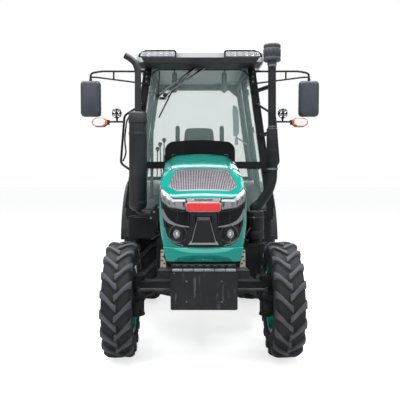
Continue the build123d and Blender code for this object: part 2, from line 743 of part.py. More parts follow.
with BuildPart() as hood:
    add(hood_outer)
    with BuildPart(mode=Mode.PRIVATE) as bumper:
        with BuildSketch(Plane.XY.offset(bumper_z[0])):
            hood_plan(bumper_nose, 0, bumper_rear)
        extrude(amount=bumper_z[1] - bumper_z[0])
        with BuildSketch(Plane.YZ) as side_view:
            outline = [
                (-515, bumper_z[0]), (bumper_nose, 922), (bumper_nose, 942), (-520, bumper_z[1]),
                (bumper_rear, bumper_z[1]), (bumper_rear, bumper_z[0]),
            ]
            Polygon(*[(behind(s), z) for s, z in outline], align=None)
        extrude(side_view.sketch, amount=600, both=True, mode=Mode.INTERSECT)
        cut_to_front_view(0)
    add(bumper.part)
    add(hood_inner, mode=Mode.SUBTRACT)
    with BuildSketch(Plane.XZ.offset(-behind(-700))) as front_cut:
        Polygon(*mirrored(front_opening), align=None)
    extrude(front_cut.sketch, amount=-480, mode=Mode.SUBTRACT)
    with BuildSketch(Plane.XY.offset(1200)) as top_cut:
        top_outline()
    extrude(top_cut.sketch, amount=600, mode=Mode.SUBTRACT)
    hinge_y = behind(hood_hinge_s)
    for side in (-1, 1):
        inner, outer = (side * x for x in hood_hinge_x)
        block(span(side, *hood_hinge_x), (behind(hood_rear - 16), hinge_y), (1672, hood_hinge_z - 3))
        rod((inner, hinge_y, hood_hinge_z), (outer, hinge_y, hood_hinge_z), hinge_radius)
        rod((inner - side * 12, hinge_y, hood_hinge_z), (outer + side * 8, hinge_y, hood_hinge_z),
            hinge_pin + spin_gap, mode=Mode.SUBTRACT)
finish(hood, "hood")

mesh_slots = 15
mesh_pitch = 27
with BuildPart() as hood_mesh:
    with BuildSketch(Plane.XY.offset(1200)):
        top_outline()
        offset(amount=-seat_gap)
    extrude(amount=600)
    add(hood_form(2), mode=Mode.INTERSECT)
    add(hood_form(9, open_below=under_cut), mode=Mode.SUBTRACT)
    with BuildSketch(Plane.XY.offset(1200)) as slots:
        for i in range(mesh_slots):
            x = (i - (mesh_slots - 1) / 2) * mesh_pitch
            front, rear = -384 + max(0, abs(x) - 175) * 1.5, 88 - max(0, abs(x) - 120) * 0.6
            with Locations((x, behind((front + rear) / 2))):
                Rectangle(9, rear - front)
    extrude(slots.sketch, amount=600, mode=Mode.SUBTRACT)
finish(hood_mesh, "hood_mesh")

# pieces of the black front, right half, each with its depths under the skin
column_outline = [(62, 1222), (86, 1222), (98, 1110), (142, 990), (102, 984), (68, 1130)]
rib_places = ((1150, 192), (1182, 246), (1213, 272))  # height of the inner end, half-width of the outer end
rib_outlines = [[(104, z), (104, z + 10), (end, z + 16), (end + 5, z + 6)] for z, end in rib_places]
with BuildPart() as hood_fascia:
    add(front_layer(mirrored(front_opening), 10, 24, seat_gap))
    for side in (-1, 1):
        for outline, near in ((column_outline, 2), *((rib, 4) for rib in rib_outlines)):
            add(front_layer([(side * x, z) for x, z in outline], near, 14))
finish(hood_fascia, "hood_fascia")

lamp_outline = [(134, 1322), (226, 1322), (318, 1402), (326, 1350), (312, 1308), (250, 1264), (138, 1248)]
fog_place = (200, 1062)
fog_radius = 46
with BuildPart() as front_lamps:
    for side in (-1, 1):
        add(front_layer([(side * x, z) for x, z in lamp_outline], 0, 10 - seat_gap))
        with BuildSketch(Plane.XZ.offset(-behind(-700))) as fog:
            with Locations((side * fog_place[0], fog_place[1])):
                RegularPolygon(fog_radius, 16)
        column = Solid.extrude(fog.sketch.face(), Vector(0, 480, 0))
        add((hood_form(-2) - hood_form(10 - seat_gap, open_below=under_cut)) & column)
finish(front_lamps, "front_lamps")

with BuildPart() as emblem_panel:
    add(front_layer([(-124, 1234), (124, 1234), (124, 1296), (-124, 1296)], 1, 10 - seat_gap))
finish(emblem_panel, "emblem_panel")

# bright trim: the frame in the middle, and a strip under the louvres on each side
grille_outline = [(-42, 1186), (42, 1186), (92, 994), (-92, 994)]
strip_outline = [
    (104, 1120), (190, 1138), (262, 1180), (300, 1232), (298, 1200), (274, 1158), (200, 1114), (104, 1108),
]
with BuildPart() as grille_frame:
    add(front_layer(grille_outline, 1, 10 - seat_gap))
    add(front_layer(grille_outline, 0, 11, 9), mode=Mode.SUBTRACT)
    for side in (-1, 1):
        add(front_layer([(side * x, z) for x, z in strip_outline], 1, 10 - seat_gap))
finish(grille_frame, "grille_frame")

# Cowl between the bonnet and the windscreen
cowl_half = 351
cowl_low_z = 960
cowl_top_z = 1850
cowl_front = hood_rear + 24
with BuildPart() as cowl:
    with BuildSketch(Plane.XZ.offset(-behind(cowl_front))):
        shoulder, bend = (cowl_half, cowl_top_z - 110), (cowl_half - 30, cowl_top_z - 40)
        edge = (cowl_half - 110, cowl_top_z - 14)
        with BuildLine():
            ThreePointArc(shoulder, bend, edge)
            ThreePointArc(edge, (0, cowl_top_z), (-edge[0], edge[1]))
            ThreePointArc((-edge[0], edge[1]), (-bend[0], bend[1]), (-shoulder[0], shoulder[1]))
            Polyline((-shoulder[0], shoulder[1]), (-cowl_half, cowl_low_z), (cowl_half, cowl_low_z), shoulder)
        make_face()
    extrude(amount=-(cab_front - seat_gap - cowl_front))
    for side in (-1, 1):
        near, far = (side * x for x in cowl_lug_x)
        block(span(side, *cowl_lug_x), (hinge_y, behind(cowl_front + 1)),
              (hood_hinge_z - hinge_radius, hood_hinge_z + hinge_radius))
        rod((near, hinge_y, hood_hinge_z), (far, hinge_y, hood_hinge_z), hinge_radius)
        rod((far - side, hinge_y, hood_hinge_z), (side * (hood_hinge_x[1] + 2), hinge_y, hood_hinge_z), hinge_pin)
finish(cowl, "cowl")

# Exhaust on the right, air intake on the left
stack_s = 670
muffler_x = -600
muffler_z = (1163, 2105)
muffler_radius = 85
tail_radius = 31
with BuildPart() as exhaust:
    y = behind(stack_s)
    pipe([(-engine_half - seat_gap, y, 1126), (muffler_x, y, 1126), (muffler_x, y, muffler_z[0] + 5)], 22, 14)
    pipe([(muffler_x, y, muffler_z[1] - 5), (muffler_x, y, 2480), (muffler_x - 50, y, 2600),
          (muffler_x - 126, y, 2650)], tail_radius, 40, 12)
    bar((muffler_x, y, muffler_z[0]), (muffler_x, y, muffler_z[1]), muffler_radius, 18)
    bar((muffler_x, y, 2000), (muffler_x, y, muffler_z[1] - 4), muffler_radius + 6, 18)
finish(exhaust, "exhaust")

intake_x = 688
sleeve_z = (1549, 1950)
sleeve_radius = 53
intake_radius = 38
cleaner_x = 520
cleaner_s = 680
cleaner_top = 1165
cleaner_radius = 92
tank_x = (420.5, 635.5)
tank_z = (571.5, 850.5)
tank_s = (570, 1130)
with BuildPart() as fuel_tank:
    with BuildSketch(Plane.XZ.offset(-behind(tank_s[0]))):
        with Locations((sum(tank_x) / 2, sum(tank_z) / 2)):
            RectangleRounded(tank_x[1] - tank_x[0], tank_z[1] - tank_z[0], 42)
    extrude(amount=tank_s[0] - tank_s[1])
    # a pressed groove runs down the front and along the outside
    front, rear = (behind(s) for s in tank_s)
    block((tank_x[1] - 5, tank_x[1] + 5), (front - 1, rear + 1), (690, 730), Mode.SUBTRACT)
    block((500, 560), (front - 5, front + 5), (tank_z[0] - 1, tank_z[1] + 1), Mode.SUBTRACT)
finish(fuel_tank, "fuel_tank")

with BuildPart() as air_cleaner:
    bar((cleaner_x, behind(cleaner_s), 880), (cleaner_x, behind(cleaner_s), cleaner_top), cleaner_radius, 18)
    bar((cleaner_x, behind(cleaner_s), tank_z[1] + seat_gap), (cleaner_x, behind(cleaner_s), 881), 55, 12)
finish(air_cleaner, "air_cleaner")

pre_cleaner_z = (2558, 2758)
with BuildPart() as intake_pipe:
    pipe([(cleaner_x, behind(cleaner_s), cleaner_top + seat_gap), (cleaner_x, behind(cleaner_s), 1290),
          (intake_x, behind(stack_s), 1410), (intake_x, behind(stack_s), sleeve_z[0] + 1)], 46, 44, 12)
    bar((intake_x, behind(stack_s), sleeve_z[0]), (intake_x, behind(stack_s), sleeve_z[1]), sleeve_radius, 14)
    bar((intake_x, behind(stack_s), sleeve_z[1]), (intake_x, behind(stack_s), pre_cleaner_z[0] - seat_gap),
        intake_radius, 14)
finish(intake_pipe, "intake_pipe")

# a neck, a drum and a cap: height and radius at the foot and at the top of each
pre_cleaner_rings = (((0, 46), (34, 80)), ((34, 82), (186, 82)), ((186, 80), (200, 66)))
with BuildPart() as pre_cleaner:
    for (low, low_radius), (high, high_radius) in pre_cleaner_rings:
        for z, radius in ((low, low_radius), (high, high_radius)):
            with BuildSketch(Plane((intake_x, behind(stack_s), pre_cleaner_z[0] + z))):
                RegularPolygon(radius, 20)
        loft(ruled=True)
finish(pre_cleaner, "pre_cleaner")

cab_mount_x = 130
bracket_height = 34
battery_x = (-700, -430)
with BuildPart() as brackets:
    # a stay from the cab's front pillar to each stack: X, radius it clears, height
    for x, radius, z in (
        (muffler_x, muffler_radius, 1880), (intake_x, intake_radius, 2340), (intake_x, sleeve_radius, 1890),
    ):
        side = 1 if x > 0 else -1
        root = side * (cab_half(z) - 34)
        with BuildSketch(Plane.XY.offset(z)):
            back = behind(cab_front) - seat_gap
            Polygon((x - 18, behind(stack_s)), (x + 18, behind(stack_s)), (root + 18, back), (root - 18, back),
                    align=None)
        extrude(amount=bracket_height)
        bar((x, behind(stack_s), z - 20), (x, behind(stack_s), z + 60), radius + seat_gap,
            18 if radius > 60 else 14, mode=Mode.SUBTRACT)
    for x in (-cab_mount_x, cab_mount_x):
        for s, low in ((1180, 880), (2220, rear_case_top)):
            bar((x, behind(s), low + seat_gap), (x, behind(s), floor_low_z - seat_gap), 42, 12)
    block((engine_half + seat_gap, tank_x[0] - seat_gap), (behind(640), behind(720)), (640, 680))
    block((battery_x[1] + seat_gap, -engine_half - 2 * seat_gap), (behind(796), behind(830)), (900, 940))
    block((-300, -engine_half - 2 * seat_gap), (behind(740), behind(830)), (900, 940))
finish(brackets, "brackets")

with BuildPart() as battery_box:
    block(battery_x, (behind(770), behind(1020)), (880, 1085))
finish(battery_box, "battery_box")

# Steps under each door
step_x = (645, 765)
step_s = (1045, 1285)
with BuildPart() as steps:
    for side in (-1, 1):
        for at in (step_s[0], step_s[1] - 12):
            block(span(side, 655, 735), (behind(at), behind(at + 12)), (420, floor_low_z - seat_gap))
        for z in (430, 640, 850):
            block(span(side, *step_x), (behind(step_s[0]), behind(step_s[1])), (z, z + 22))
finish(steps, "steps")

# Mirrors on tubular arms, grab rails with the side lamps
mirror_x = 1117
mirror_s = 1000
mirror_half = (105, 185.5)
mirror_z = 2280.5
lamp_rail_z = 2045
work_lamp_x = 847
work_lamp_z = 2130
work_lamp_radius = 50
lamp_block_x = (935, 1105)
with BuildPart() as side_rails:
    y = behind(mirror_s)
    for side in (-1, 1):
        block(span(side, 524, 562), (behind(975), behind(cab_front) - seat_gap), (2420, 2584))
        pipe([(side * 560, y, 2560), (side * 1010, y, 2562), (side * mirror_x, y, 2540),
              (side * mirror_x, y, 2466 + seat_gap)], 11, 24)
        pipe([(side * 560, y, 2434), (side * (mirror_x - 60), y, 2500), (side * mirror_x, y, 2500)], 9, 20)
        bar((side * 880, y, 2474), (side * 880, y, 2560), 9, 6)
    front, back = behind(1000), behind(cab_front) - seat_gap
    for side in (-1, 1):
        pipe([(side * 585, back, 2225), (side * 585, front, 2225), (side * 770, front, 2110),
              (side * 808, front, 1620), (side * 680, front, 1530), (side * 680, back, 1530)], 12, 18)
        bar((side * 776, front, lamp_rail_z), (side * (lamp_block_x[0] - seat_gap), front, lamp_rail_z), 10, 8)
        bar((side * work_lamp_x, front, lamp_rail_z),
            (side * work_lamp_x, front, work_lamp_z - work_lamp_radius - seat_gap), 8, 8)
finish(side_rails, "side_rails")

with BuildPart() as mirror_heads:
    for side in (-1, 1):
        # distance behind the front axle, share of the full outline
        for (near, near_share), (far, far_share) in (((960, 0.78), (982, 1)), ((982, 1), (1032, 1))):
            for s, share in ((near, near_share), (far, far_share)):
                with BuildSketch(Plane.XZ.offset(-behind(s))):
                    with Locations((side * mirror_x, mirror_z)):
                        width, height = mirror_half[0] * share, mirror_half[1] * share
                        right = [(width - 34, height), (width, height - 40), (width, 40 - height),
                                 (width - 34, -height)]
                        Polygon(*right, *[(-x, z) for x, z in reversed(right)], align=None)
            loft(ruled=True)
finish(mirror_heads, "mirror_heads")

# outline of a turn lamp, right half
turn_lamp_outline = [(42, 50), (85, 20), (85, -20), (42, -50)]
with BuildPart() as side_lamps:
    for side in (-1, 1):
        with BuildSketch(Plane.XZ.offset(-behind(970))):
            with Locations((side * sum(lamp_block_x) / 2, 2038)):
                Polygon(*turn_lamp_outline, *[(-x, z) for x, z in reversed(turn_lamp_outline)], align=None)
        extrude(amount=-55)
        bar((side * work_lamp_x, behind(962), work_lamp_z), (side * work_lamp_x, behind(1030), work_lamp_z),
            work_lamp_radius, 16)
    for side in (-1, 1):
        block(span(side, 758, 840), (behind(2460), behind(2520)), (1230, 1390))
        with Locations(Location((side * 800, rear_axle_y, rear_wheel_z), (0, 90, 0))):
            Cylinder(fender_outer_radius + seat_gap, 120, mode=Mode.SUBTRACT)
finish(side_lamps, "side_lamps")

# Driver's place
seat_s = (1750, 2170)
seat_z = 1400
cushion_height = 120
backrest_top = 2100
with BuildPart() as seat_base:
    block((-200, 200), (behind(seat_s[0] + 40), behind(seat_s[1] - 60)), (cab_floor_z + seat_gap, seat_z))
    for side in (-1, 1):
        block(span(side, 250, 310), (behind(1830), behind(2180)), (1650, 1700))
        block(span(side, 230 + seat_gap, 251), (behind(2120), behind(2180)), (1650, 1700))
finish(seat_base, "seat_base")

with BuildPart() as seat_cushions:
    with BuildSketch(Plane.XY.offset(seat_z + seat_gap)):
        with Locations((0, behind(sum(seat_s) / 2))):
            RectangleRounded(480, seat_s[1] - seat_s[0], 60)
    extrude(amount=cushion_height)
    back_low = seat_z + cushion_height + 2 * seat_gap
    with BuildSketch(Plane.XZ.offset(-behind(seat_s[1] - 60))):
        with Locations((0, (back_low + backrest_top) / 2)):
            RectangleRounded(460, backrest_top - back_low, 100)
    extrude(amount=-110)
finish(seat_cushions, "seat_cushions")

wheel_hub = (0, behind(1430), 1640)
column_lean = radians(32)
column_axis = (0, sin(column_lean), cos(column_lean))
wheel_radius = 190


def along_column(distance):
    return tuple(wheel_hub[i] + column_axis[i] * distance for i in range(3))


with BuildPart() as dash_column:
    bar(along_column(-420), along_column(-30), 38, 14)
    block((-190, 190), (behind(cab_front + pillar) + seat_gap, behind(1240)), (cab_floor_z + seat_gap, 1600))
    block((-150, 150), (behind(1239), behind(1300)), (1400, 1560))
    for side in (-1, 1):
        block(span(side, 320, floor_half), (behind(1640), behind(1860)), (cab_floor_z + seat_gap, 1400))
    for x, at in ((-350, 1700), (-390, 1760), (370, 1720)):
        bar((x, behind(at), 1390), (x, behind(at - 40), 1690), 9, 8)
        bar((x, behind(at - 40), 1680), (x, behind(at - 46), 1730), 20, 8)
finish(dash_column, "dash_column")

grip = [(wheel_radius + 14 * cos(turn * pi / 3), 10 + 14 * sin(turn * pi / 3)) for turn in range(6)]
wheel_plane = Plane(wheel_hub, x_dir=(1, 0, 0), z_dir=column_axis)
with BuildPart(wheel_plane) as steering_wheel:
    add(faceted_ring(grip, 24))
    rod(along_column(spin_gap - 30), along_column(20), 34)
    spoke = wheel_radius - 4
    for turn in (radians(90), radians(210), radians(330)):
        tip = wheel_plane.from_local_coords((spoke * cos(turn), spoke * sin(turn), 9))
        bar(wheel_hub, tuple(tip), 9, 8)
finish(steering_wheel, "steering_wheel")

# Rear linkage and drawbar
link_pivot = (2090, 430)
arm_pivot = (2180, 840)
arm_length = 330
link_length = rear_overhang - 30 - (link_pivot[0] - wheelbase)
eye_s = link_pivot[0] + link_length
lift_point = link_pivot[0] + arm_length
link_x = (300, 330)
lift_arm_x = (236, 266)
pivot_radius = 18
eye_radius = 14
pin_radius = 11
with BuildPart() as lower_links:
    for side in (-1, 1):
        inner, outer = (side * x for x in link_x)
        for at, radius in ((link_pivot[0], 34), (eye_s, 32), (lift_point, 24)):
            bar((inner, behind(at), link_pivot[1]), (outer, behind(at), link_pivot[1]), radius, 12)
        block(span(side, link_x[0] + 3, link_x[1] - 3), (behind(link_pivot[0]), behind(eye_s)),
              (link_pivot[1] - 22, link_pivot[1] + 22))
        for at, radius in ((link_pivot[0], pivot_radius), (eye_s, eye_radius)):
            rod((inner - side * 10, behind(at), link_pivot[1]), (outer + side * 10, behind(at), link_pivot[1]),
                radius, mode=Mode.SUBTRACT)
        rod((side * 270, behind(lift_point), link_pivot[1]), (inner + side, behind(lift_point), link_pivot[1]),
            pin_radius)
finish(lower_links, "lower_links")

cross_block_low = link_pivot[1] - 24
pto_radius = 17.5
arm_shaft_radius = 24
pivot_y = behind(arm_pivot[0])
with BuildPart() as rear_shafts:
    rod((-336, behind(link_pivot[0]), link_pivot[1]), (336, behind(link_pivot[0]), link_pivot[1]),
        pivot_radius - spin_gap)
    block((-60, 60), (behind(link_pivot[0] - 40), behind(link_pivot[0] + 40)),
          (cross_block_low, rear_case_low - seat_gap))
    for side in (-1, 1):
        rod((side * (190 + seat_gap), pivot_y, arm_pivot[1]), (side * 270, pivot_y, arm_pivot[1]), arm_shaft_radius)
    rod((0, behind(rear_case_span[1] + 2 * seat_gap), 600), (0, behind(rear_case_span[1] + 90), 600), pto_radius)
finish(rear_shafts, "rear_shafts")

arm_tip = arm_pivot[0] + arm_length
with BuildPart() as lift_arms:
    for side in (-1, 1):
        inner, outer = (side * x for x in lift_arm_x)
        bar((inner, pivot_y, arm_pivot[1]), (outer, pivot_y, arm_pivot[1]), 42, 12)
        block(span(side, lift_arm_x[0] + 2, lift_arm_x[1] - 2), (pivot_y, behind(arm_tip)),
              (arm_pivot[1] - 26, arm_pivot[1] + 26))
        bar((inner, behind(arm_tip), arm_pivot[1]), (outer, behind(arm_tip), arm_pivot[1]), 28, 12)
        rod((outer - side, behind(arm_tip), arm_pivot[1]), (side * 296, behind(arm_tip), arm_pivot[1]), pin_radius)
        rod((inner - side * 6, pivot_y, arm_pivot[1]), (outer + side * 4, pivot_y, arm_pivot[1]),
            arm_shaft_radius + spin_gap, mode=Mode.SUBTRACT)
finish(lift_arms, "lift_arms")

lift_rod_x = (269, 297)
with BuildPart() as lift_rods:
    ends = ((lift_point, link_pivot[1]), (arm_tip, arm_pivot[1]))
    for side in (-1, 1):
        middle = side * sum(lift_rod_x) / 2
        bar((middle, behind(ends[0][0]), ends[0][1]), (middle, behind(ends[1][0]), ends[1][1]), 12, 8)
        for s, z in ends:
            bar((side * lift_rod_x[0], behind(s), z), (side * lift_rod_x[1], behind(s), z), 23, 12)
            rod((side * (lift_rod_x[0] - 19), behind(s), z), (side * (lift_rod_x[1] + 23), behind(s), z),
                pin_radius + spin_gap, mode=Mode.SUBTRACT)
finish(lift_rods, "lift_rods")

drawbar_z = (330, 365)
drawbar_half = 35
drawbar_hole_s = 2640
drawbar_hole_radius = 16
with BuildPart() as drawbar:
    with BuildSketch(Plane.XY.offset(drawbar_z[0])):
        with Locations((0, behind(drawbar_hole_s - 300))):
            Rectangle(2 * drawbar_half, 600)
        with Locations((0, behind(drawbar_hole_s))):
            Circle(drawbar_half)
            Circle(drawbar_hole_radius, mode=Mode.SUBTRACT)
    extrude(amount=drawbar_z[1] - drawbar_z[0])
    block((-50, 50), (behind(2060), behind(2150)), (drawbar_z[0], cross_block_low - seat_gap))
    bar((0, behind(rear_case_span[1] + 2 * seat_gap), 800), (0, behind(2420), 800), 22, 10)
    bar((0, behind(2410), 800), (0, behind(2760), 900), 16, 8)
finish(drawbar, "drawbar")
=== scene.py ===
import bpy, bmesh, json, math
import numpy as np
from mathutils import Matrix, Vector

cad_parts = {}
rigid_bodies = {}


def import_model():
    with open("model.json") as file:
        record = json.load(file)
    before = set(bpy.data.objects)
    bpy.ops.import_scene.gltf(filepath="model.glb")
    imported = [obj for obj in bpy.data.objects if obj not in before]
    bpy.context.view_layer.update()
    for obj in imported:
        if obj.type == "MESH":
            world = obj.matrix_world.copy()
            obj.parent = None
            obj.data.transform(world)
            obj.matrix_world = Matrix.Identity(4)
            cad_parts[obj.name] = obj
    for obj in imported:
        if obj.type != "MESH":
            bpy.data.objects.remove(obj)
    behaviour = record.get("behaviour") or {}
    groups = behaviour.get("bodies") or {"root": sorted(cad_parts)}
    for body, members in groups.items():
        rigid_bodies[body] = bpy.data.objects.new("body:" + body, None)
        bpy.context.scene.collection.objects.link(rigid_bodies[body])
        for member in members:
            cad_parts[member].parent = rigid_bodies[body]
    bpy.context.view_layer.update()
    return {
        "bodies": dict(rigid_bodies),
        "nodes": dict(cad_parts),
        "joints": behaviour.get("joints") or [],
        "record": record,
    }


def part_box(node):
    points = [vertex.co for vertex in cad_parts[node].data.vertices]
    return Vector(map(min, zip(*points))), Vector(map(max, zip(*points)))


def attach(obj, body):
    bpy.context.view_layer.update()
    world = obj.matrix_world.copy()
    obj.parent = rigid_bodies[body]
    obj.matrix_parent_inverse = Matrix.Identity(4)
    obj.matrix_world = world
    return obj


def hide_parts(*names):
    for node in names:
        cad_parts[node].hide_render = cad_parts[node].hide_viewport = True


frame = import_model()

nodes = frame["nodes"]
mm = 0.001
tiny = 1e-6
toFront, toTop, toLeft = (0, -1, 0), (0, 0, 1), (1, 0, 0)

# The studio: camera in front at eye height, pale floor, soft lamps
studio = {
    "cameraPlace": (-0.10, -5.615, 1.50), "lens": 47.5, "shift": (0.025, -0.0625), "clipEnd": 200,
    "floorColour": (0.62, 0.62, 0.62, 1), "floorGlow": 0.69, "floorHalf": 60, "floorDrop": 0.0005,
    "worldColour": (0.96, 0.98, 1, 1), "worldLight": 0.46, "lowShine": 0.14, "skyShine": 3.4,
    "horizon": 0.12, "overhead": 0.70,
}
lamps = {
    # place, target, size, power, seen in glossy faces
    "keyLamp": ((-3.4, -5.0, 4.6), (0, -0.6, 1.2), (3.0, 3.0), 185, False),
    "fillLamp": ((4.2, -4.4, 3.2), (0, -0.4, 1.2), (3.0, 3.0), 100, False),
    "topLamp": ((0, -0.3, 6.2), (0, 0, 1), (4.5, 4.5), 520, True),
    "backLamp": ((0.5, 5.6, 3.4), (0, 0.6, 1.4), (3.5, 2.5), 120, True),
}


def linkObject(name, data):
    obj = bpy.data.objects.new(name, data)
    bpy.context.scene.collection.objects.link(obj)
    return obj


# Gives a node's inputs a plain value each, or another node's output
def fillInputs(tree, node, inputs):
    for label, value in inputs.items():
        if isinstance(value, bpy.types.NodeSocket):
            tree.links.new(value, node.inputs[label])
        else:
            node.inputs[label].default_value = value


def addNode(tree, kind, inputs={}, **settings):
    node = tree.nodes.new(kind)
    for label, value in settings.items():
        setattr(node, label, value)
    fillInputs(tree, node, inputs)
    return node.outputs


def addMath(tree, operation, first, second):
    return addNode(tree, "ShaderNodeMath", {0: first, 1: second}, operation=operation)[0]


def emptyTree(owner):
    owner.use_nodes = True
    owner.node_tree.nodes.clear()
    return owner.node_tree


def buildWorld():
    world = bpy.data.worlds.new("studioWorld")
    bpy.context.scene.world = world
    tree = emptyTree(world)
    path = addNode(tree, "ShaderNodeLightPath")
    clear = addMath(tree, "MAXIMUM", path["Is Camera Ray"], path["Is Transmission Ray"])
    lit = addNode(tree, "ShaderNodeBackground", {"Strength": studio["worldLight"], "Color": studio["worldColour"]})
    # gloss sees a bright sky overhead that darkens towards the horizon
    slope = addNode(tree, "ShaderNodeSeparateXYZ", {0: addNode(tree, "ShaderNodeTexCoord")["Generated"]})
    sky = rangeNode(tree, slope["Z"], studio["horizon"], studio["overhead"], studio["lowShine"], studio["skyShine"])
    shine = addNode(tree, "ShaderNodeBackground", {"Strength": sky})
    glossy = addNode(tree, "ShaderNodeMixShader", {0: path["Is Glossy Ray"], 1: lit[0], 2: shine[0]})
    seen = addNode(tree, "ShaderNodeBackground", {"Color": (1, 1, 1, 1)})
    mix = addNode(tree, "ShaderNodeMixShader", {0: clear, 1: glossy[0], 2: seen[0]})
    addNode(tree, "ShaderNodeOutputWorld", {0: mix[0]})


def buildFloor():
    mesh = bpy.data.meshes.new("studioFloor")
    size = studio["floorHalf"]
    mesh.from_pydata([(-size, -size, 0), (size, -size, 0), (size, size, 0), (-size, size, 0)], [], [(0, 1, 2, 3)])
    floor = linkObject("studioFloor", mesh)
    floor.location.z = -studio["floorDrop"]
    material = bpy.data.materials.new("paleFloor")
    tree = emptyTree(material)
    glow = addMath(tree, "MULTIPLY", addNode(tree, "ShaderNodeLightPath")["Is Camera Ray"], studio["floorGlow"])
    both = addNode(tree, "ShaderNodeAddShader", {
        0: addNode(tree, "ShaderNodeBsdfDiffuse", {"Color": studio["floorColour"]})[0],
        1: addNode(tree, "ShaderNodeEmission", {"Strength": glow})[0]})
    addNode(tree, "ShaderNodeOutputMaterial", {0: both[0]})
    mesh.materials.append(material)


def buildStudio():
    scene = bpy.context.scene
    data = bpy.data.cameras.new("studioCamera")
    data.lens = studio["lens"]
    data.shift_x, data.shift_y = studio["shift"]
    data.clip_end = studio["clipEnd"]
    camera = linkObject("studioCamera", data)
    camera.location = studio["cameraPlace"]
    camera.rotation_euler = (math.radians(90), 0, 0)
    scene.camera = camera
    scene.view_settings.view_transform = "Standard"
    buildWorld()
    buildFloor()
    for name, (place, target, size, power, glossy) in lamps.items():
        data = bpy.data.lights.new(name, "AREA")
        data.shape = "RECTANGLE"
        data.size, data.size_y = size
        data.energy = power
        lamp = linkObject(name, data)
        lamp.location = place
        lamp.visible_glossy = glossy
        lamp.rotation_euler = (Vector(target) - Vector(place)).to_track_quat("-Z", "Y").to_euler()


def noiseNode(tree, vector, scale, detail=3):
    return addNode(tree, "ShaderNodeTexNoise", {"Vector": vector, "Scale": scale, "Detail": detail})["Fac"]


def rangeNode(tree, value, low, high, start=0.0, end=1.0):
    return addNode(tree, "ShaderNodeMapRange", {"Value": value, "From Min": low, "From Max": high, "To Min": start,
                                                "To Max": end})["Result"]


def mixColour(tree, factor, first, second):
    # a mix node's colour sockets are its inputs 6 and 7 and its output 2
    return addNode(tree, "ShaderNodeMix", {"Factor": factor, 6: first, 7: second}, data_type="RGBA")[2]


buildStudio()
print("studio ready")


# A node group of any kind with its sockets; an input's row is label, kind and value
def newGroup(name, inputs, outputs, treeKind="ShaderNodeTree"):
    tree = bpy.data.node_groups.new(name, treeKind)
    for side, rows in (("INPUT", inputs), ("OUTPUT", outputs)):
        for label, kind, *value in rows:
            socket = tree.interface.new_socket(label, in_out=side, socket_type="NodeSocket" + kind)
            if value:
                socket.default_value = value[0]
    return tree, addNode(tree, "NodeGroupInput")


# Finishes. One grain group gives each material its colour, roughness and relief over the surface
def buildGrainGroup():
    tree, given = newGroup("surfaceGrain", [
        ("Colour", "Color", (0.5, 0.5, 0.5, 1)), ("Second Colour", "Color", (0.4, 0.4, 0.4, 1)),
        ("Dust Colour", "Color", (0.45, 0.43, 0.4, 1)), ("Patch Scale", "Float", 3.0), ("Grain Scale", "Float", 200.0),
        ("Dust", "Float", 0.1), ("Rough Low", "Float", 0.3), ("Rough High", "Float", 0.5),
    ], [("Colour", "Color"), ("Roughness", "Float"), ("Height", "Float")])
    place = addNode(tree, "ShaderNodeTexCoord")["Object"]
    patch = noiseNode(tree, place, given["Patch Scale"], 5)
    grain = noiseNode(tree, place, given["Grain Scale"], 2)
    colour = mixColour(tree, rangeNode(tree, patch, 0.32, 0.68), given["Colour"], given["Second Colour"])
    height = addNode(tree, "ShaderNodeSeparateXYZ", {0: place})["Z"]
    low = rangeNode(tree, height, 0.0, 1.1, given["Dust"], 0.0)
    cloud = rangeNode(tree, noiseNode(tree, place, 9.0, 4), 0.42, 0.7, 0.25, 1.0)
    dusty = mixColour(tree, addMath(tree, "MULTIPLY", low, cloud), colour, given["Dust Colour"])
    rough = rangeNode(tree, patch, 0.3, 0.7, given["Rough Low"], given["Rough High"])
    addNode(tree, "NodeGroupOutput", {"Colour": dusty, "Roughness": rough, "Height": grain})
    return tree


def buildScuffGroup():
    tree, given = newGroup("scuffMarks", [("Reach", "Float", 0.5)], [("Mask", "Float")])
    place = addNode(tree, "ShaderNodeTexCoord")["Object"]
    stretch = addNode(tree, "ShaderNodeMapping", {"Vector": place, "Scale": (60, 60, 9)})[0]
    streak = rangeNode(tree, noiseNode(tree, stretch, 1.0, 4), 0.54, 0.72)
    area = rangeNode(tree, noiseNode(tree, place, 7.0, 2), 0.50, 0.66)
    both = addMath(tree, "MULTIPLY", streak, area)
    addNode(tree, "NodeGroupOutput", {"Mask": addMath(tree, "MULTIPLY", both, given["Reach"])})
    return tree


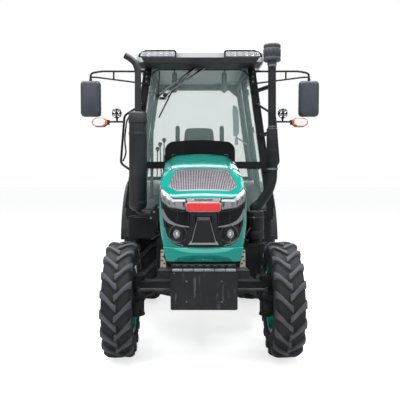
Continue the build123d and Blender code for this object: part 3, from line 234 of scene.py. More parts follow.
finishes = {
    # colour, second colour, patch scale, grain scale, dust, rough low, rough high, relief, metallic, coat, specular
    "tealPaint": ((0.0008, 0.255, 0.208), (0.0012, 0.275, 0.224), 2.2, 900, 0.01, 0.11, 0.16, 0.00002, 0, 0.5, 0.32),
    "blackPaint": ((0.0105, 0.0115, 0.0125), (0.016, 0.017, 0.019), 4, 700, 0.025, 0.32, 0.48, 0.0003, 0, 0, 0.22),
    "whitePaint": ((0.56, 0.58, 0.59), (0.51, 0.53, 0.54), 2, 800, 0.03, 0.25, 0.36, 0.0002, 0, 0.4, 0.5),
    "castGrey": ((0.012, 0.013, 0.014), (0.02, 0.021, 0.023), 7, 260, 0.04, 0.5, 0.68, 0.0012, 0, 0, 0.25),
    "tyreRubber": ((0.044, 0.048, 0.056), (0.072, 0.077, 0.088), 9, 420, 0.07, 0.58, 0.8, 0.001, 0, 0, 0.3),
    "brightSteel": ((0.42, 0.42, 0.43), (0.28, 0.28, 0.29), 6, 500, 0.08, 0.24, 0.42, 0.0003, 1, 0, 0.5),
    "chromePlate": ((0.8, 0.8, 0.82), (0.7, 0.7, 0.73), 3, 900, 0.02, 0.06, 0.14, 0.0001, 1, 0, 0.5),
    "satinSilver": ((0.46, 0.46, 0.49), (0.38, 0.38, 0.41), 5, 1200, 0.02, 0.22, 0.34, 0.0002, 0.85, 0.2, 0.5),
    "smokeSilver": ((0.2, 0.2, 0.22), (0.15, 0.15, 0.165), 5, 1200, 0.02, 0.2, 0.32, 0.0002, 0.85, 0.2, 0.5),
    "lampSilver": ((0.5, 0.51, 0.54), (0.26, 0.27, 0.3), 9, 300, 0, 0.14, 0.24, 0.00002, 0.85, 0, 0.5),
    "lampWhite": ((0.86, 0.87, 0.89), (0.8, 0.81, 0.84), 12, 700, 0, 0.14, 0.24, 0.0003, 0, 0.5, 0.5),
    "blackPlastic": ((0.0105, 0.0115, 0.013), (0.016, 0.017, 0.019), 5, 1500, 0.02, 0.38, 0.55, 0.0004, 0, 0, 0.25),
    "glossBlack": ((0.006, 0.0062, 0.007), (0.01, 0.0102, 0.0115), 5, 1500, 0.005, 0.1, 0.18, 0.0001, 0, 0, 0.4),
    "satinBlack": ((0.01, 0.0105, 0.012), (0.014, 0.0145, 0.016), 5, 1500, 0.01, 0.24, 0.36, 0.0002, 0, 0, 0.35),
    "greyMesh": ((0.27, 0.25, 0.275), (0.21, 0.195, 0.215), 8, 600, 0.05, 0.3, 0.45, 0.0003, 0.5, 0, 0.5),
    "redPlastic": ((0.7, 0.03, 0.032), (0.6, 0.022, 0.024), 6, 900, 0.02, 0.15, 0.28, 0.0002, 0, 0.4, 0.5),
    "amberPlastic": ((0.72, 0.2, 0.03), (0.6, 0.15, 0.02), 9, 900, 0, 0.14, 0.26, 0.0002, 0, 0.4, 0.5),
    "creamPaint": ((0.66, 0.6, 0.44), (0.5, 0.45, 0.33), 12, 600, 0.1, 0.3, 0.5, 0.0004, 0, 0, 0.4),
    "seatCloth": ((0.02, 0.021, 0.023), (0.034, 0.035, 0.038), 14, 1200, 0.01, 0.75, 0.95, 0.001, 0, 0, 0.25),
    "seatPiping": ((0.1, 0.11, 0.12), (0.07, 0.075, 0.08), 14, 1200, 0.03, 0.55, 0.8, 0.0006, 0, 0, 0.3),
    "mirrorGrey": ((0.038, 0.045, 0.057), (0.05, 0.057, 0.07), 4, 1300, 0.01, 0.35, 0.5, 0.0004, 0, 0, 0.35),
    "mirrorFace": ((0.72, 0.74, 0.76), (0.66, 0.68, 0.71), 3, 900, 0, 0.03, 0.06, 0, 1, 0, 0.5),
    "mufflerGrey": ((0.016, 0.0175, 0.02), (0.026, 0.027, 0.03), 3.5, 500, 0.02, 0.36, 0.52, 0.0005, 0, 0, 0.35),
    "wornBlack": ((0.05, 0.053, 0.058), (0.02, 0.021, 0.023), 18, 700, 0.03, 0.28, 0.46, 0.0005, 0.3, 0, 0.4),
    # painted shade: near-black for the tyre carcass between the lugs and for the disc in the exhaust's mouth
    "tyreDark": ((0.012, 0.013, 0.0145), (0.022, 0.0235, 0.026), 9, 420, 0.015, 0.6, 0.82, 0.001, 0, 0, 0.25),
    "wornSteel": ((0.26, 0.28, 0.285), (0.11, 0.12, 0.125), 16, 700, 0.04, 0.3, 0.5, 0.0005, 0.2, 0, 0.4),
    "paleGrey": ((0.42, 0.45, 0.48), (0.36, 0.39, 0.42), 6, 1200, 0.02, 0.35, 0.5, 0.0003, 0, 0, 0.4),
    "greyPlastic": ((0.115, 0.13, 0.145), (0.095, 0.108, 0.12), 6, 1200, 0.02, 0.4, 0.55, 0.0003, 0, 0, 0.3),
}
glasses = {
    # colour, second colour, roughness, how solid it looks
    "cabGlass": ((0.46, 0.66, 0.64, 1), (0.52, 0.70, 0.68, 1), 0.03, 0.14),
    "lampLens": ((0.85, 0.88, 0.90, 1), (0.78, 0.82, 0.86, 1), 0.05, 0.16),
    "smokeGlass": ((0.10, 0.11, 0.13, 1), (0.14, 0.15, 0.17, 1), 0.04, 0.75),
}
scuffs = {"colour": (0.14, 0.15, 0.16, 1), "reach": 0.75}
coatRoughness = 0.06
grainGroup = buildGrainGroup()
materials = {}


def startMaterial(name):
    material = bpy.data.materials.new(name)
    material.use_nodes = True
    materials[name] = material
    return material.node_tree, material.node_tree.nodes["Principled BSDF"]


def buildFinish(name, values):
    colour, second, patch, grain, dust, roughLow, roughHigh, relief, metallic, coat, specular = values
    tree, shader = startMaterial(name)
    surface = addNode(tree, "ShaderNodeGroup", {
        "Colour": (*colour, 1), "Second Colour": (*second, 1), "Patch Scale": patch, "Grain Scale": grain, "Dust": dust,
        "Rough Low": roughLow, "Rough High": roughHigh}, node_tree=grainGroup)
    bump = addNode(tree, "ShaderNodeBump", {"Distance": relief, "Strength": 1.0, "Height": surface["Height"]})
    fillInputs(tree, shader, {
        "Base Color": surface["Colour"], "Roughness": surface["Roughness"], "Normal": bump[0], "Metallic": metallic,
        "Coat Weight": coat, "Coat Roughness": coatRoughness, "Specular IOR Level": specular})
    return tree, shader, surface["Colour"]


def buildGlass(name, tint, second, roughness, alpha):
    tree, shader = startMaterial(name)
    place = addNode(tree, "ShaderNodeTexCoord")["Object"]
    cloud = rangeNode(tree, noiseNode(tree, place, 2.5, 3), 0.35, 0.65)
    smear = rangeNode(tree, noiseNode(tree, place, 6.0, 4), 0.4, 0.75, roughness, roughness + 0.05)
    fillInputs(tree, shader, {
        "Base Color": mixColour(tree, cloud, tint, second), "Roughness": smear, "IOR": 1.45,
        "Transmission Weight": 0.0, "Alpha": alpha})


def buildScuffed(name, source):
    tree, shader, colour = buildFinish(name, finishes[source])
    marks = addNode(tree, "ShaderNodeGroup", {"Reach": scuffs["reach"]}, node_tree=buildScuffGroup())
    fillInputs(tree, shader, {"Base Color": mixColour(tree, marks["Mask"], colour, scuffs["colour"])})


for finishName, finishValues in finishes.items():
    buildFinish(finishName, finishValues)
buildScuffed("scuffedBlack", "blackPaint")
for glassName, glassValues in glasses.items():
    buildGlass(glassName, *glassValues)
print("finishes ready:", len(materials))


# Ways to make a shape. Sizes are millimetres: across, behind the front axle, up
def wheelMiddle(size):
    low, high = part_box(f"{size}_tyre_left")
    return (low[1] + high[1]) / 2 / mm, (low[2] + high[2]) / 2 / mm


frontAxleY, frontWheelZ = wheelMiddle("front")
rearAxleY, rearWheelZ = wheelMiddle("rear")
sides = (-1, 1)


def at(x, s, z):
    return Vector((x, frontAxleY + s, z)) * mm


def frontPlace(u, v, w):
    return at(u, w, v)


def addFaces(bm, points, faces):
    verts = [bm.verts.new(point) for point in points]
    for face in faces:
        bm.faces.new([verts[i] for i in face])


def addBlock(bm, x, s, z):
    points = [at(a, b, c) for c in z for b in s for a in x]
    addFaces(bm, points, [(0, 2, 3, 1), (4, 5, 7, 6), (0, 1, 5, 4), (2, 6, 7, 3), (0, 4, 6, 2), (1, 3, 7, 5)])


# An outline made solid between two depths, as seen from the front or by another way of placing it
def addPrism(bm, outline, near, far, place=frontPlace):
    count = len(outline)
    points = [place(u, v, near) for u, v in outline] + [place(u, v, far) for u, v in outline]
    faces = [tuple(range(count)), tuple(range(2 * count - 1, count - 1, -1))]
    faces += [(i, i + count, (i + 1) % count + count, (i + 1) % count) for i in range(count)]
    addFaces(bm, points, faces)


def bothSides(outline):
    return outline, [(-x, z) for x, z in reversed(outline)]


def addPrismPair(bm, outline, near, far):
    for one in bothSides(outline):
        addPrism(bm, one, near, far)


def circlePoints(centre, first, second, radius, count):
    turns = [2 * math.pi * i / count for i in range(count)]
    return [centre + (first * math.cos(turn) + second * math.sin(turn)) * radius * mm for turn in turns]


# A turned shape: each row of the profile is a radius and a distance along the axis
def addLathe(bm, profile, centre, axis, count=32, hoop=False, mark=0):
    axis = Vector(axis).normalized()
    first = axis.orthogonal().normalized()
    second = axis.cross(first)
    rings = []
    for radius, height in profile:
        middle = axis * height * mm
        if radius < tiny:
            rings.append([bm.verts.new(centre + middle)])
        else:
            rings.append([bm.verts.new(point + middle) for point in circlePoints(centre, first, second, radius, count)])
    for low, high in list(zip(rings, rings[1:])) + ([(rings[-1], rings[0])] if hoop else []):
        for i in range(count):
            j = (i + 1) % count
            corner = [low[i % len(low)], low[j % len(low)], high[j % len(high)], high[i % len(high)]]
            corner = [v for k, v in enumerate(corner) if v not in corner[:k]]
            if len(corner) > 2:
                bm.faces.new(corner).material_index = mark


def addDisc(bm, radius, height, centre, axis, count=24):
    addLathe(bm, [(0, 0), (radius, 0), (radius, height), (0, height)], centre, axis, count)


# A flat ring of a given width, half of it on each side of its middle
def addBand(bm, inner, outer, width, centre, axis, count=40):
    half = width / 2
    addLathe(bm, [(inner, -half), (outer, -half), (outer, half), (inner, half)], centre, axis, count, True)


def roundedPath(points, bend, steps):
    path = [points[0]]
    for before, corner, after in zip(points, points[1:], points[2:]):
        back, ahead = before - corner, after - corner
        reach = min(bend * mm, back.length * 0.48, ahead.length * 0.48)
        start, end = corner + back.normalized() * reach, corner + ahead.normalized() * reach
        for i in range(steps + 1):
            t = i / steps
            path.append(start.lerp(corner, t).lerp(corner.lerp(end, t), t))
    return path + [points[-1]]


# A round bar along a route; radius is one number or one for each point of the route
def addTube(bm, points, radius, count=12, bend=40, steps=6, flat=1.0):
    path = roundedPath(points, bend, steps) if bend else points
    lengths = [0.0]
    for a, b in zip(path, path[1:]):
        lengths.append(lengths[-1] + (b - a).length)
    sizes = radius if isinstance(radius, list) else [radius] * 2
    marks = np.linspace(0, lengths[-1], len(sizes))
    side = (path[1] - path[0]).normalized().orthogonal().normalized()
    rings = []
    for i, point in enumerate(path):
        ahead = (path[min(i + 1, len(path) - 1)] - path[max(i - 1, 0)]).normalized()
        side = (side - ahead * side.dot(ahead)).normalized()
        size = float(np.interp(lengths[i], marks, sizes))
        rings.append([bm.verts.new(p) for p in circlePoints(point, side, ahead.cross(side) * flat, size, count)])
    for low, high in zip(rings, rings[1:]):
        for j in range(count):
            bm.faces.new([low[j], low[(j + 1) % count], high[(j + 1) % count], high[j]])
    bm.faces.new(rings[0][::-1])
    bm.faces.new(rings[-1])


# A hexagon head on a washer
def addBolt(bm, place, axis=toFront, radius=9, height=7):
    addLathe(bm, [(0, -2), (radius * 1.35, -2), (radius * 1.35, 1.5), (radius, 2)], place, axis, 18)
    addLathe(bm, [(radius, 1), (radius, height - 1.5), (radius * 0.86, height), (0, height)], place, axis, 6)


def cleanShape(bm):
    bmesh.ops.remove_doubles(bm, verts=bm.verts, dist=tiny)
    bmesh.ops.recalc_face_normals(bm, faces=bm.faces)


def meshFrom(bm, name):
    mesh = bpy.data.meshes.new(name)
    bm.to_mesh(mesh)
    bm.free()
    return mesh


def addSoftEdges(obj, width, segments, angle, harden):
    edge = obj.modifiers.new("softEdges", "BEVEL")
    edge.width = width * mm
    edge.segments = segments
    edge.limit_method = "ANGLE"
    edge.angle_limit = math.radians(angle)
    edge.harden_normals = harden


# Makes an object of a shape or a mesh; finish is one name or a list of them
def putPiece(name, source, finish, slotName, stands=(), body="chassis", bevel=0, segments=2, angle=35, smooth=40,
             clean=True):
    if isinstance(source, bmesh.types.BMesh):
        if clean:
            cleanShape(source)
        mesh = meshFrom(source, name)
    else:
        mesh = source
        mesh.materials.clear()
    for item in [finish] if isinstance(finish, str) else finish:
        mesh.materials.append(materials[item])
    mesh.shade_smooth()
    mesh.set_sharp_from_angle(angle=math.radians(smooth))
    obj = linkObject(name, mesh)
    if bevel:
        addSoftEdges(obj, bevel, segments, angle, False)
    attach(obj, body)
    if stands:
        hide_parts(*stands)
    return obj


# Makes a piece out of parts: each is a function that adds a shape, then the values it takes
def makePiece(name, finish, slotName, *parts, **look):
    bm = bmesh.new()
    for addShape, *values in parts:
        addShape(bm, *values)
    return putPiece(name, bm, finish, slotName, **look)


# Node trees that repeat a shape
def startTree(name, inputs):
    geometry = ("Geometry", "Geometry")
    return newGroup(name, [geometry, *inputs, ("Finish", "Material")], [geometry], "GeometryNodeTree")


def endTree(tree, geometry, given):
    whole = addNode(tree, "GeometryNodeRealizeInstances", {0: geometry})
    painted = addNode(tree, "GeometryNodeSetMaterial", {"Geometry": whole[0], "Material": given["Finish"]})
    addNode(tree, "NodeGroupOutput", {0: painted[0]})
    return tree


# Copies of one shape, evenly turned about the X axis
def buildRingTree():
    tree, given = startTree("turnedCopies", [("Count", "Int", 18), ("First Turn", "Float", 0.0)])
    step = addMath(tree, "DIVIDE", 2 * math.pi, given["Count"])
    turn = addMath(tree, "MULTIPLY", addNode(tree, "GeometryNodeInputIndex")[0], step)
    turn = addMath(tree, "ADD", turn, given["First Turn"])
    points = addNode(tree, "GeometryNodePoints", {"Count": given["Count"]})
    spin = addNode(tree, "ShaderNodeCombineXYZ", {"X": turn})
    place = addNode(tree, "GeometryNodeInstanceOnPoints", {
        "Points": points[0], "Instance": given["Geometry"], "Rotation": spin[0]})
    return endTree(tree, place[0], given)


# Copies of one shape along a straight row
def buildRowTree():
    tree, given = startTree("rowOfCopies", [("Count", "Int", 10), ("Step", "Vector", (0.01, 0, 0))])
    line = addNode(tree, "GeometryNodeMeshLine", {"Count": given["Count"], "Offset": given["Step"]}, mode="OFFSET")
    place = addNode(tree, "GeometryNodeInstanceOnPoints", {"Points": line[0], "Instance": given["Geometry"]})
    return endTree(tree, place[0], given)


# Cuts a grid of holes through a plate whose faces are already cut along the holes' edges
def buildSieveTree():
    tree, given = startTree("sieve", [
        ("Across Pitch", "Float", 0.01), ("Across Bar", "Float", 0.004), ("Along Pitch", "Float", 0.06),
        ("Along Bar", "Float", 0.006)])
    axes = addNode(tree, "ShaderNodeSeparateXYZ", {0: addNode(tree, "GeometryNodeInputPosition")[0]})
    picks = []
    for axis, way in (("X", "Across"), ("Y", "Along")):
        rest = addMath(tree, "FLOORED_MODULO", axes[axis], given[way + " Pitch"])
        picks.append(addMath(tree, "GREATER_THAN", rest, given[way + " Bar"]))
    inside = addNode(tree, "GeometryNodeInputNamedAttribute", {"Name": "inside"}, data_type="FLOAT")
    inside = addMath(tree, "GREATER_THAN", inside["Attribute"], 0.5)
    hole = addMath(tree, "MULTIPLY", addMath(tree, "MULTIPLY", *picks), inside)
    cut = addNode(tree, "GeometryNodeDeleteGeometry", {"Geometry": given["Geometry"], "Selection": hole},
                  domain="FACE", mode="ALL")
    return endTree(tree, cut[0], given)


ringTree, rowTree, sieveTree = buildRingTree(), buildRowTree(), buildSieveTree()


# The mesh that an object's modifiers give; the objects named are then removed
def resultMesh(obj, *helpers):
    made = bpy.data.meshes.new_from_object(obj.evaluated_get(bpy.context.evaluated_depsgraph_get()))
    for item in (obj, *helpers):
        bpy.data.objects.remove(item)
    return made


# Runs a node tree on a shape and gives back the plain mesh
def runTree(bm, tree, finish, values):
    cleanShape(bm)
    obj = linkObject("treeSource", meshFrom(bm, "treeSource"))
    modifier = obj.modifiers.new("tree", "NODES")
    modifier.node_group = tree
    values = {**values, "Finish": materials[finish]}
    for item in tree.interface.items_tree:
        if item.in_out == "INPUT" and item.name in values:
            modifier[item.identifier] = values[item.name]
    obj.update_tag()
    return resultMesh(obj)


def joinMeshes(meshes):
    bm = bmesh.new()
    for mesh in meshes:
        bm.from_mesh(mesh)
    for face in bm.faces:
        face.material_index = 0
    return bm


print("tools ready")


# Bonnet. Its outer form is the space inside a few planes and bows, with the corners between them rounded
bonnet = {
    # bows: height and half-width; cheek: half-width, flare, start and length; shoulder: height, slope, edge, fall, size
    "nose": -522, "rear": 860, "wall": 12, "round": 5.5, "noseBow": (20, 205), "crownBow": (22, 352),
    "cheek": (337, 13, -357, 1217), "shoulder": (1706, 0.17, 232, 0.646, 1.2), "middle": (0, 0, 1210),
    "reach": (350, 700, 330), "cells": 44, "innerCells": 22, "innerOpen": 40,
}
bumper = {
    "nose": -545, "low": 858, "high": 965, "back": -335, "round": 3.2, "middle": (0, -440, 912),
    "reach": (340, 110, 56), "cells": 40,
}
vent = {
    # hole pitch and bar between holes, across and along
    "pitch": (13.5, 34), "bar": (6.4, 2.2), "span": (270, 410), "border": 6, "under": 3.5, "thick": 3.2, "gap": 1.5,
    "rimUnder": 1.2, "rimRadius": 2.2,
}
# how far a form's grid bows towards its corners, and how far out its skin is looked for
formSearch = {"gridBow": 0.86, "farthest": 2.2, "rounds": 36}
planCorners = ((205, 20, 298, 72), (298, 72, 337, 165))
frontSides = ((276, 858, 316, 1000), (316, 1000, 350, 1190))
sideCorners = ((-560, 1000, -523, 1200), (-523, 1200, -500, 1340), (-500, 1340, -450, 1560))
bumperSides = ((-514, bumper["low"], -545, 922), (-545, 922, -545, 926), (-545, 926, -514, bumper["high"]))
topRuns = ((-490, 1352, 0.42), (100, 1559, 0.34), (860, 1712, 0.20))
lowEdge = ((-600, -330, -250, bonnet["rear"]), (858, 858, 1010, 1200))
frontOpening = [(0, 1327), (222, 1327), (240, 1335), (324, 1412), (333, 1350), (322, 1290), (306, 1200), (292, 1100),
                (276, 1046), (243, 1004), (193, 976), (110, 967), (0, 965)]
topOpening = [(192, -402), (206, -396), (266, -306), (268, -290), (228, 56), (214, 72), (140, 108), (120, 110)]


# How far a place is outside a line from one point to another
def beyond(first, second, line):
    a0, b0, a1, b1 = line
    da, db = a1 - a0, b1 - b0
    return ((first - a0) * db - (second - b0) * da) / math.hypot(da, db)


# The largest of several distances, rounded where two or more of them meet
def blend(walls, soft):
    walls = np.stack(walls) / soft
    top = walls.max(axis=0)
    return soft * (top + np.log(np.exp(walls - top).sum(axis=0)))


def noseWalls(a, s, z, nose, sideLines):
    depth, width = bonnet["noseBow"]
    half, flare, start, length = bonnet["cheek"]
    return [nose + depth * (a / width) ** 2 - s, *(beyond(a, s - nose, line) for line in planCorners),
            a - half - flare * (s - start) / length, *(beyond(a, z, line) for line in frontSides),
            *(-beyond(s, z, line) for line in sideLines)]


# How far a place is outside the bonnet
def bonnetLevel(x, s, z, inset=0.0):
    a = np.abs(x)
    walls = noseWalls(a, s, z, bonnet["nose"], sideCorners)
    height, width = bonnet["crownBow"]
    bow = height * (a / width) ** 2
    walls += [(z - level - slope * (s - start) + bow) / math.hypot(1, slope) for start, level, slope in topRuns]
    level, slope, edge, fall, size = bonnet["shoulder"]
    walls.append((z - level - slope * (s - bonnet["rear"]) + (a - edge) * fall) / size)
    return blend([wall + inset for wall in walls], bonnet["round"])


# Halves the space between two places until the change of a test is found
def findEdge(isPast, low, high, rounds=34):
    for _ in range(rounds):
        middle = (low + high) / 2
        past = isPast(middle)
        low, high = np.where(past, low, middle), np.where(past, middle, high)
    return (low + high) / 2


# Distance behind the front axle at which the bonnet's skin is met from the front
def skinDepth(x, z):
    x, z = np.asarray(x, float), np.asarray(z, float)
    low, high = np.full(x.shape, -620.0), np.full(x.shape, 420.0)
    return findEdge(lambda s: bonnetLevel(x, s, z) <= 0, low, high)


def skinHeight(x, s):
    x, s = np.asarray(x, float), np.asarray(s, float)
    low, high = np.full(x.shape, 1100.0), np.full(x.shape, 2000.0)
    return findEdge(lambda z: bonnetLevel(x, s, z) > 0, low, high)


# A closed mesh of a rounded form, found from its middle outwards
def formMesh(level, middle, reach, cells):
    bm = cubeGrid(cells)
    ways = np.array([tuple(v.co) for v in bm.verts])
    bow = formSearch["gridBow"]
    ways = np.tan(ways * bow) / math.tan(bow) * np.array(reach)
    middle = np.array(middle, float)

    def isPast(share):
        p = middle + ways * share[:, None]
        return level(p[:, 0], p[:, 1], p[:, 2]) > 0

    share = findEdge(isPast, np.zeros(len(ways)), np.full(len(ways), formSearch["farthest"]), formSearch["rounds"])
    for vert, place in zip(bm.verts, middle + ways * share[:, None]):
        vert.co = at(*place)
    bmesh.ops.recalc_face_normals(bm, faces=bm.faces)
    return meshFrom(bm, "form")


def cubeGrid(cells):
    bm = bmesh.new()
    bmesh.ops.create_cube(bm, size=2)
    bmesh.ops.subdivide_edges(bm, edges=bm.edges, cuts=cells - 1, use_grid_fill=True)
    return bm


def prismMesh(*values):
    bm = bmesh.new()
    addPrism(bm, *values)
    bmesh.ops.recalc_face_normals(bm, faces=bm.faces)
    return meshFrom(bm, "prism")


# Cuts meshes out of a mesh, one after the other
def carve(base, *cutters):
    obj = linkObject("form", base)
    helpers = [linkObject("form", mesh) for mesh in cutters]
    for helper in helpers:
        modifier = obj.modifiers.new("carve", "BOOLEAN")
        modifier.operation = "DIFFERENCE"
        modifier.solver = "EXACT"
        modifier.object = helper
    return resultMesh(obj, *helpers)


def mirrored(points):
    return points + [(-x, z) for x, z in reversed(points) if x > 0]


def cutAt(bm, axis, value):
    point, normal = [0, 0, 0], [0, 0, 0]
    point[axis], normal[axis] = value, 1
    bmesh.ops.bisect_plane(bm, geom=bm.verts[:] + bm.edges[:] + bm.faces[:], dist=1e-5, plane_co=point, plane_no=normal)


# A layer that follows the nose, inside an outline seen from the front
def addPatch(bm, outline, near, far, step=12):
    local = bmesh.new()
    addPrism(local, outline, 0, 1, lambda u, v, w: Vector((u, w, v)))
    for axis, values in ((0, [x for x, z in outline]), (2, [z for x, z in outline])):
        k = math.floor(min(values) / step) + 1
        while k * step < max(values):
            cutAt(local, axis, k * step)
            k += 1
    local.verts.index_update()
    places = np.array([tuple(v.co) for v in local.verts])
    depths = skinDepth(places[:, 0], places[:, 2]) + np.where(places[:, 1] < 0.5, near, far)
    verts = [bm.verts.new(at(x, s, z)) for (x, _, z), s in zip(places, depths)]
    for face in local.faces:
        bm.faces.new([verts[v.index] for v in face.verts])
    local.free()


def addPatchPair(bm, outline, near, far, step=12):
    for one in bothSides(outline):
        addPatch(bm, one, near, far, step)


# A narrow strip along a line on the nose, on both sides; width is one number or one for each point
def addStripPair(bm, points, width, near, far, step=14):
    widths = width if isinstance(width, list) else [width] * len(points)
    for hand in sides:
        line = [(hand * x, z) for x, z in points]
        left, right = [], []
        for i, (x, z) in enumerate(line):
            a, b = line[max(i - 1, 0)], line[min(i + 1, len(line) - 1)]
            dx, dz = b[0] - a[0], b[1] - a[1]
            share = widths[i] / 2 / math.hypot(dx, dz)
            left.append((x - dz * share, z + dx * share))
            right.append((x + dz * share, z - dx * share))
        addPatch(bm, left + right[::-1], near, far, step)


def buildBonnet():
    rear = bonnet["rear"]

    def closedLevel(x, s, z, inset=0.0, more=0.0):
        level = bonnetLevel(x, s, z, inset)
        return np.maximum(np.maximum(level, np.interp(s, *lowEdge) - more - z), s - rear - more)

    def innerLevel(x, s, z):
        return closedLevel(x, s, z, bonnet["wall"], bonnet["innerOpen"])

    outer = formMesh(closedLevel, bonnet["middle"], bonnet["reach"], bonnet["cells"])
    inner = formMesh(innerLevel, bonnet["middle"], bonnet["reach"], bonnet["innerCells"])
    opening = prismMesh(mirrored(frontOpening), -700, -230)
    top = prismMesh(mirrored(topOpening), 1200, 1800, at)
    putPiece("bonnetShell", carve(outer, inner, opening, top), "tealPaint", "teal_paint", ("hood",), "hood",
             bevel=2.2, angle=50, smooth=42)

    # hinge ears at the rear, each with its eye
    bm = bmesh.new()
    for low, high in ((262, 282), (-282, -262)):
        addBlock(bm, (low, high), (840, 872), (1672, 1697))
        addDisc(bm, 9, 20, at(low, 872, 1700), toLeft, 20)
    putPiece("bonnetHinges", bm, "blackPaint", "teal_paint", body="hood", bevel=1.2)


def buildBumper():
    def level(x, s, z):
        walls = noseWalls(np.abs(x), s, z, bumper["nose"], bumperSides)
        return blend(walls + [z - bumper["high"], bumper["low"] - z, s - bumper["back"]], bumper["round"])

    form = formMesh(level, bumper["middle"], bumper["reach"], bumper["cells"])
    # the dark centre panel under the light band is set in between slanting ends
    cutter = prismMesh([(-212, 852), (-178, 893), (178, 893), (212, 852)], -600, -518)
    putPiece("bonnetBumper", carve(form, cutter), "tealPaint", "teal_paint", body="hood", bevel=2.5, angle=40,
             smooth=42)


# The perforated panel: a plate cut into cells, and the holes taken out by the sieve
def buildVentPanel():
    outline = mirrored([(x - vent["gap"], s) for x, s in topOpening])
    bm = bmesh.new()
    bm.faces.new([bm.verts.new((x, s, 0)) for x, s in outline])
    for axis, (pitch, bar, span) in enumerate(zip(vent["pitch"], vent["bar"], vent["span"])):
        k = math.floor(-span / pitch)
        while k * pitch < span:
            cutAt(bm, axis, k * pitch)
            cutAt(bm, axis, k * pitch + bar)
            k += 1
    # holes keep away from the outline
    inside = bm.verts.layers.float.new("inside")
    corners = [Vector(point) for point in outline]
    for vert in bm.verts:
        point = vert.co.xy
        nearest = []
        for a, b in zip(corners, corners[1:] + corners[:1]):
            share = max(0, min(1, (point - a).dot(b - a) / (b - a).length_squared))
            nearest.append((point - a - (b - a) * share).length)
        vert[inside] = 1.0 if min(nearest) > vent["border"] else 0.0
    # the plate lies flat for the sieve, and is bent to the bonnet's crown afterwards
    for vert in bm.verts:
        vert.co *= mm
    values = {}
    for way, pitch, bar in zip(("Across", "Along"), vent["pitch"], vent["bar"]):
        values.update({way + " Pitch": pitch * mm, way + " Bar": bar * mm})
    plate = runTree(bm, sieveTree, "greyMesh", values)
    bm = bmesh.new()
    bm.from_mesh(plate)
    places = np.array([tuple(v.co) for v in bm.verts]) / mm
    heights = skinHeight(places[:, 0], places[:, 1])
    for vert, (x, s, _), z in zip(bm.verts, places, heights):
        vert.co = at(x, s, z - vent["under"])
    bmesh.ops.recalc_face_normals(bm, faces=bm.faces)
    for face in bm.faces:
        if face.normal.z < 0:
            face.normal_flip()
    bmesh.ops.solidify(bm, geom=bm.faces[:], thickness=vent["thick"] * mm)
    putPiece("ventPanel", bm, "greyMesh", "grey_mesh", ("hood_mesh",), "hood", smooth=30)
    rim = [at(x, s, float(skinHeight(x, s)) - vent["rimUnder"]) for x, s in outline]
    makePiece("ventRim", "blackPlastic", "grey_mesh", (addTube, rim + rim[:1], vent["rimRadius"], 8, 0), body="hood")


buildBonnet()
buildBumper()
buildVentPanel()
print("bonnet ready")


# The black front between the bonnet's cheeks: plate, lamps, sign plate, louvre panels and trim
front = {
    "plateDepth": (7, 20), "fog": (190, 1064), "moduleHeight": (1281, 1283, 1296, 1322),
    "moduleAcross": (156, 196, 236, 276), "trimWidth": 4.5, "louvreHeights": (1150, 1172, 1194, 1216),
    "louvreAcross": (112, 150, 190, 230, 262), "sweepWidths": [10, 24, 30, 26, 18, 12, 7],
    "dayLightWidths": [15, 17, 20, 26, 27, 12],
}
lampOutline = [(130, 1322), (226, 1322), (241, 1331), (318, 1402), (328, 1352), (314, 1306), (252, 1262), (134, 1246)]


def hoodPiece(name, finish, slotName, *parts, **look):
    return makePiece(name, finish, slotName, *parts, body="hood", **look)


def buildFrontPlate():
    inner = [(x - 1.5 if x else 0, z - 1.5 if z > 1300 else z + 1.5) for x, z in frontOpening]
    hoodPiece("frontPlate", "glossBlack", "black_plastic", (addPatch, mirrored(inner), *front["plateDepth"], 14),
              stands=("hood_fascia",))
    # slanting columns each side of the middle, the hood over the middle, and the outer columns
    hoodPiece(
        "frontColumns", "satinBlack", "black_plastic",
        (addPatchPair, [(58, 1226), (98, 1226), (104, 1120), (150, 988), (104, 981), (66, 1130)], -4, 8),
        (addPatch, [(-70, 1226), (70, 1226), (52, 1196), (-52, 1196)], -2, 8),
        (addPatchPair, [(286, 1234), (309, 1256), (303, 1198), (289, 1104), (272, 1050), (262, 1056), (276, 1130)],
         -1, 8),
        bevel=3, angle=50)
    # louvre panels: a raised box with a thin bright edge and four blades
    blades = [[(x, low + (x - 112) * 0.10 + max(0, x - 190) * 0.22) for x in front["louvreAcross"]]
              for low in front["louvreHeights"]]
    hoodPiece(
        "louvrePanels", "glossBlack", "black_plastic",
        (addPatchPair, [(108, 1236), (140, 1232), (252, 1250), (296, 1282), (298, 1240), (282, 1200), (246, 1166),
                        (188, 1146), (108, 1134)], 0, 8),
        *((addStripPair, blade, 8, -4, 2) for blade in blades), bevel=2, angle=50)
    edges = ([(110, 1233), (142, 1229), (196, 1238), (250, 1248), (292, 1276)], [(112, 1228), (112, 1140)],
             [(192, 1232), (194, 1150)])
    hoodPiece("louvreEdges", "smokeSilver", "chrome", *((addStripPair, points, 2.2, -2.5, 4) for points in edges))
    # the dark pan inside the bright frame
    hoodPiece("middlePan", "blackPlastic", "black_plastic",
              (addPatch, [(-40, 1172), (40, 1172), (84, 1002), (-84, 1002)], 3, 8), bevel=2, angle=50)


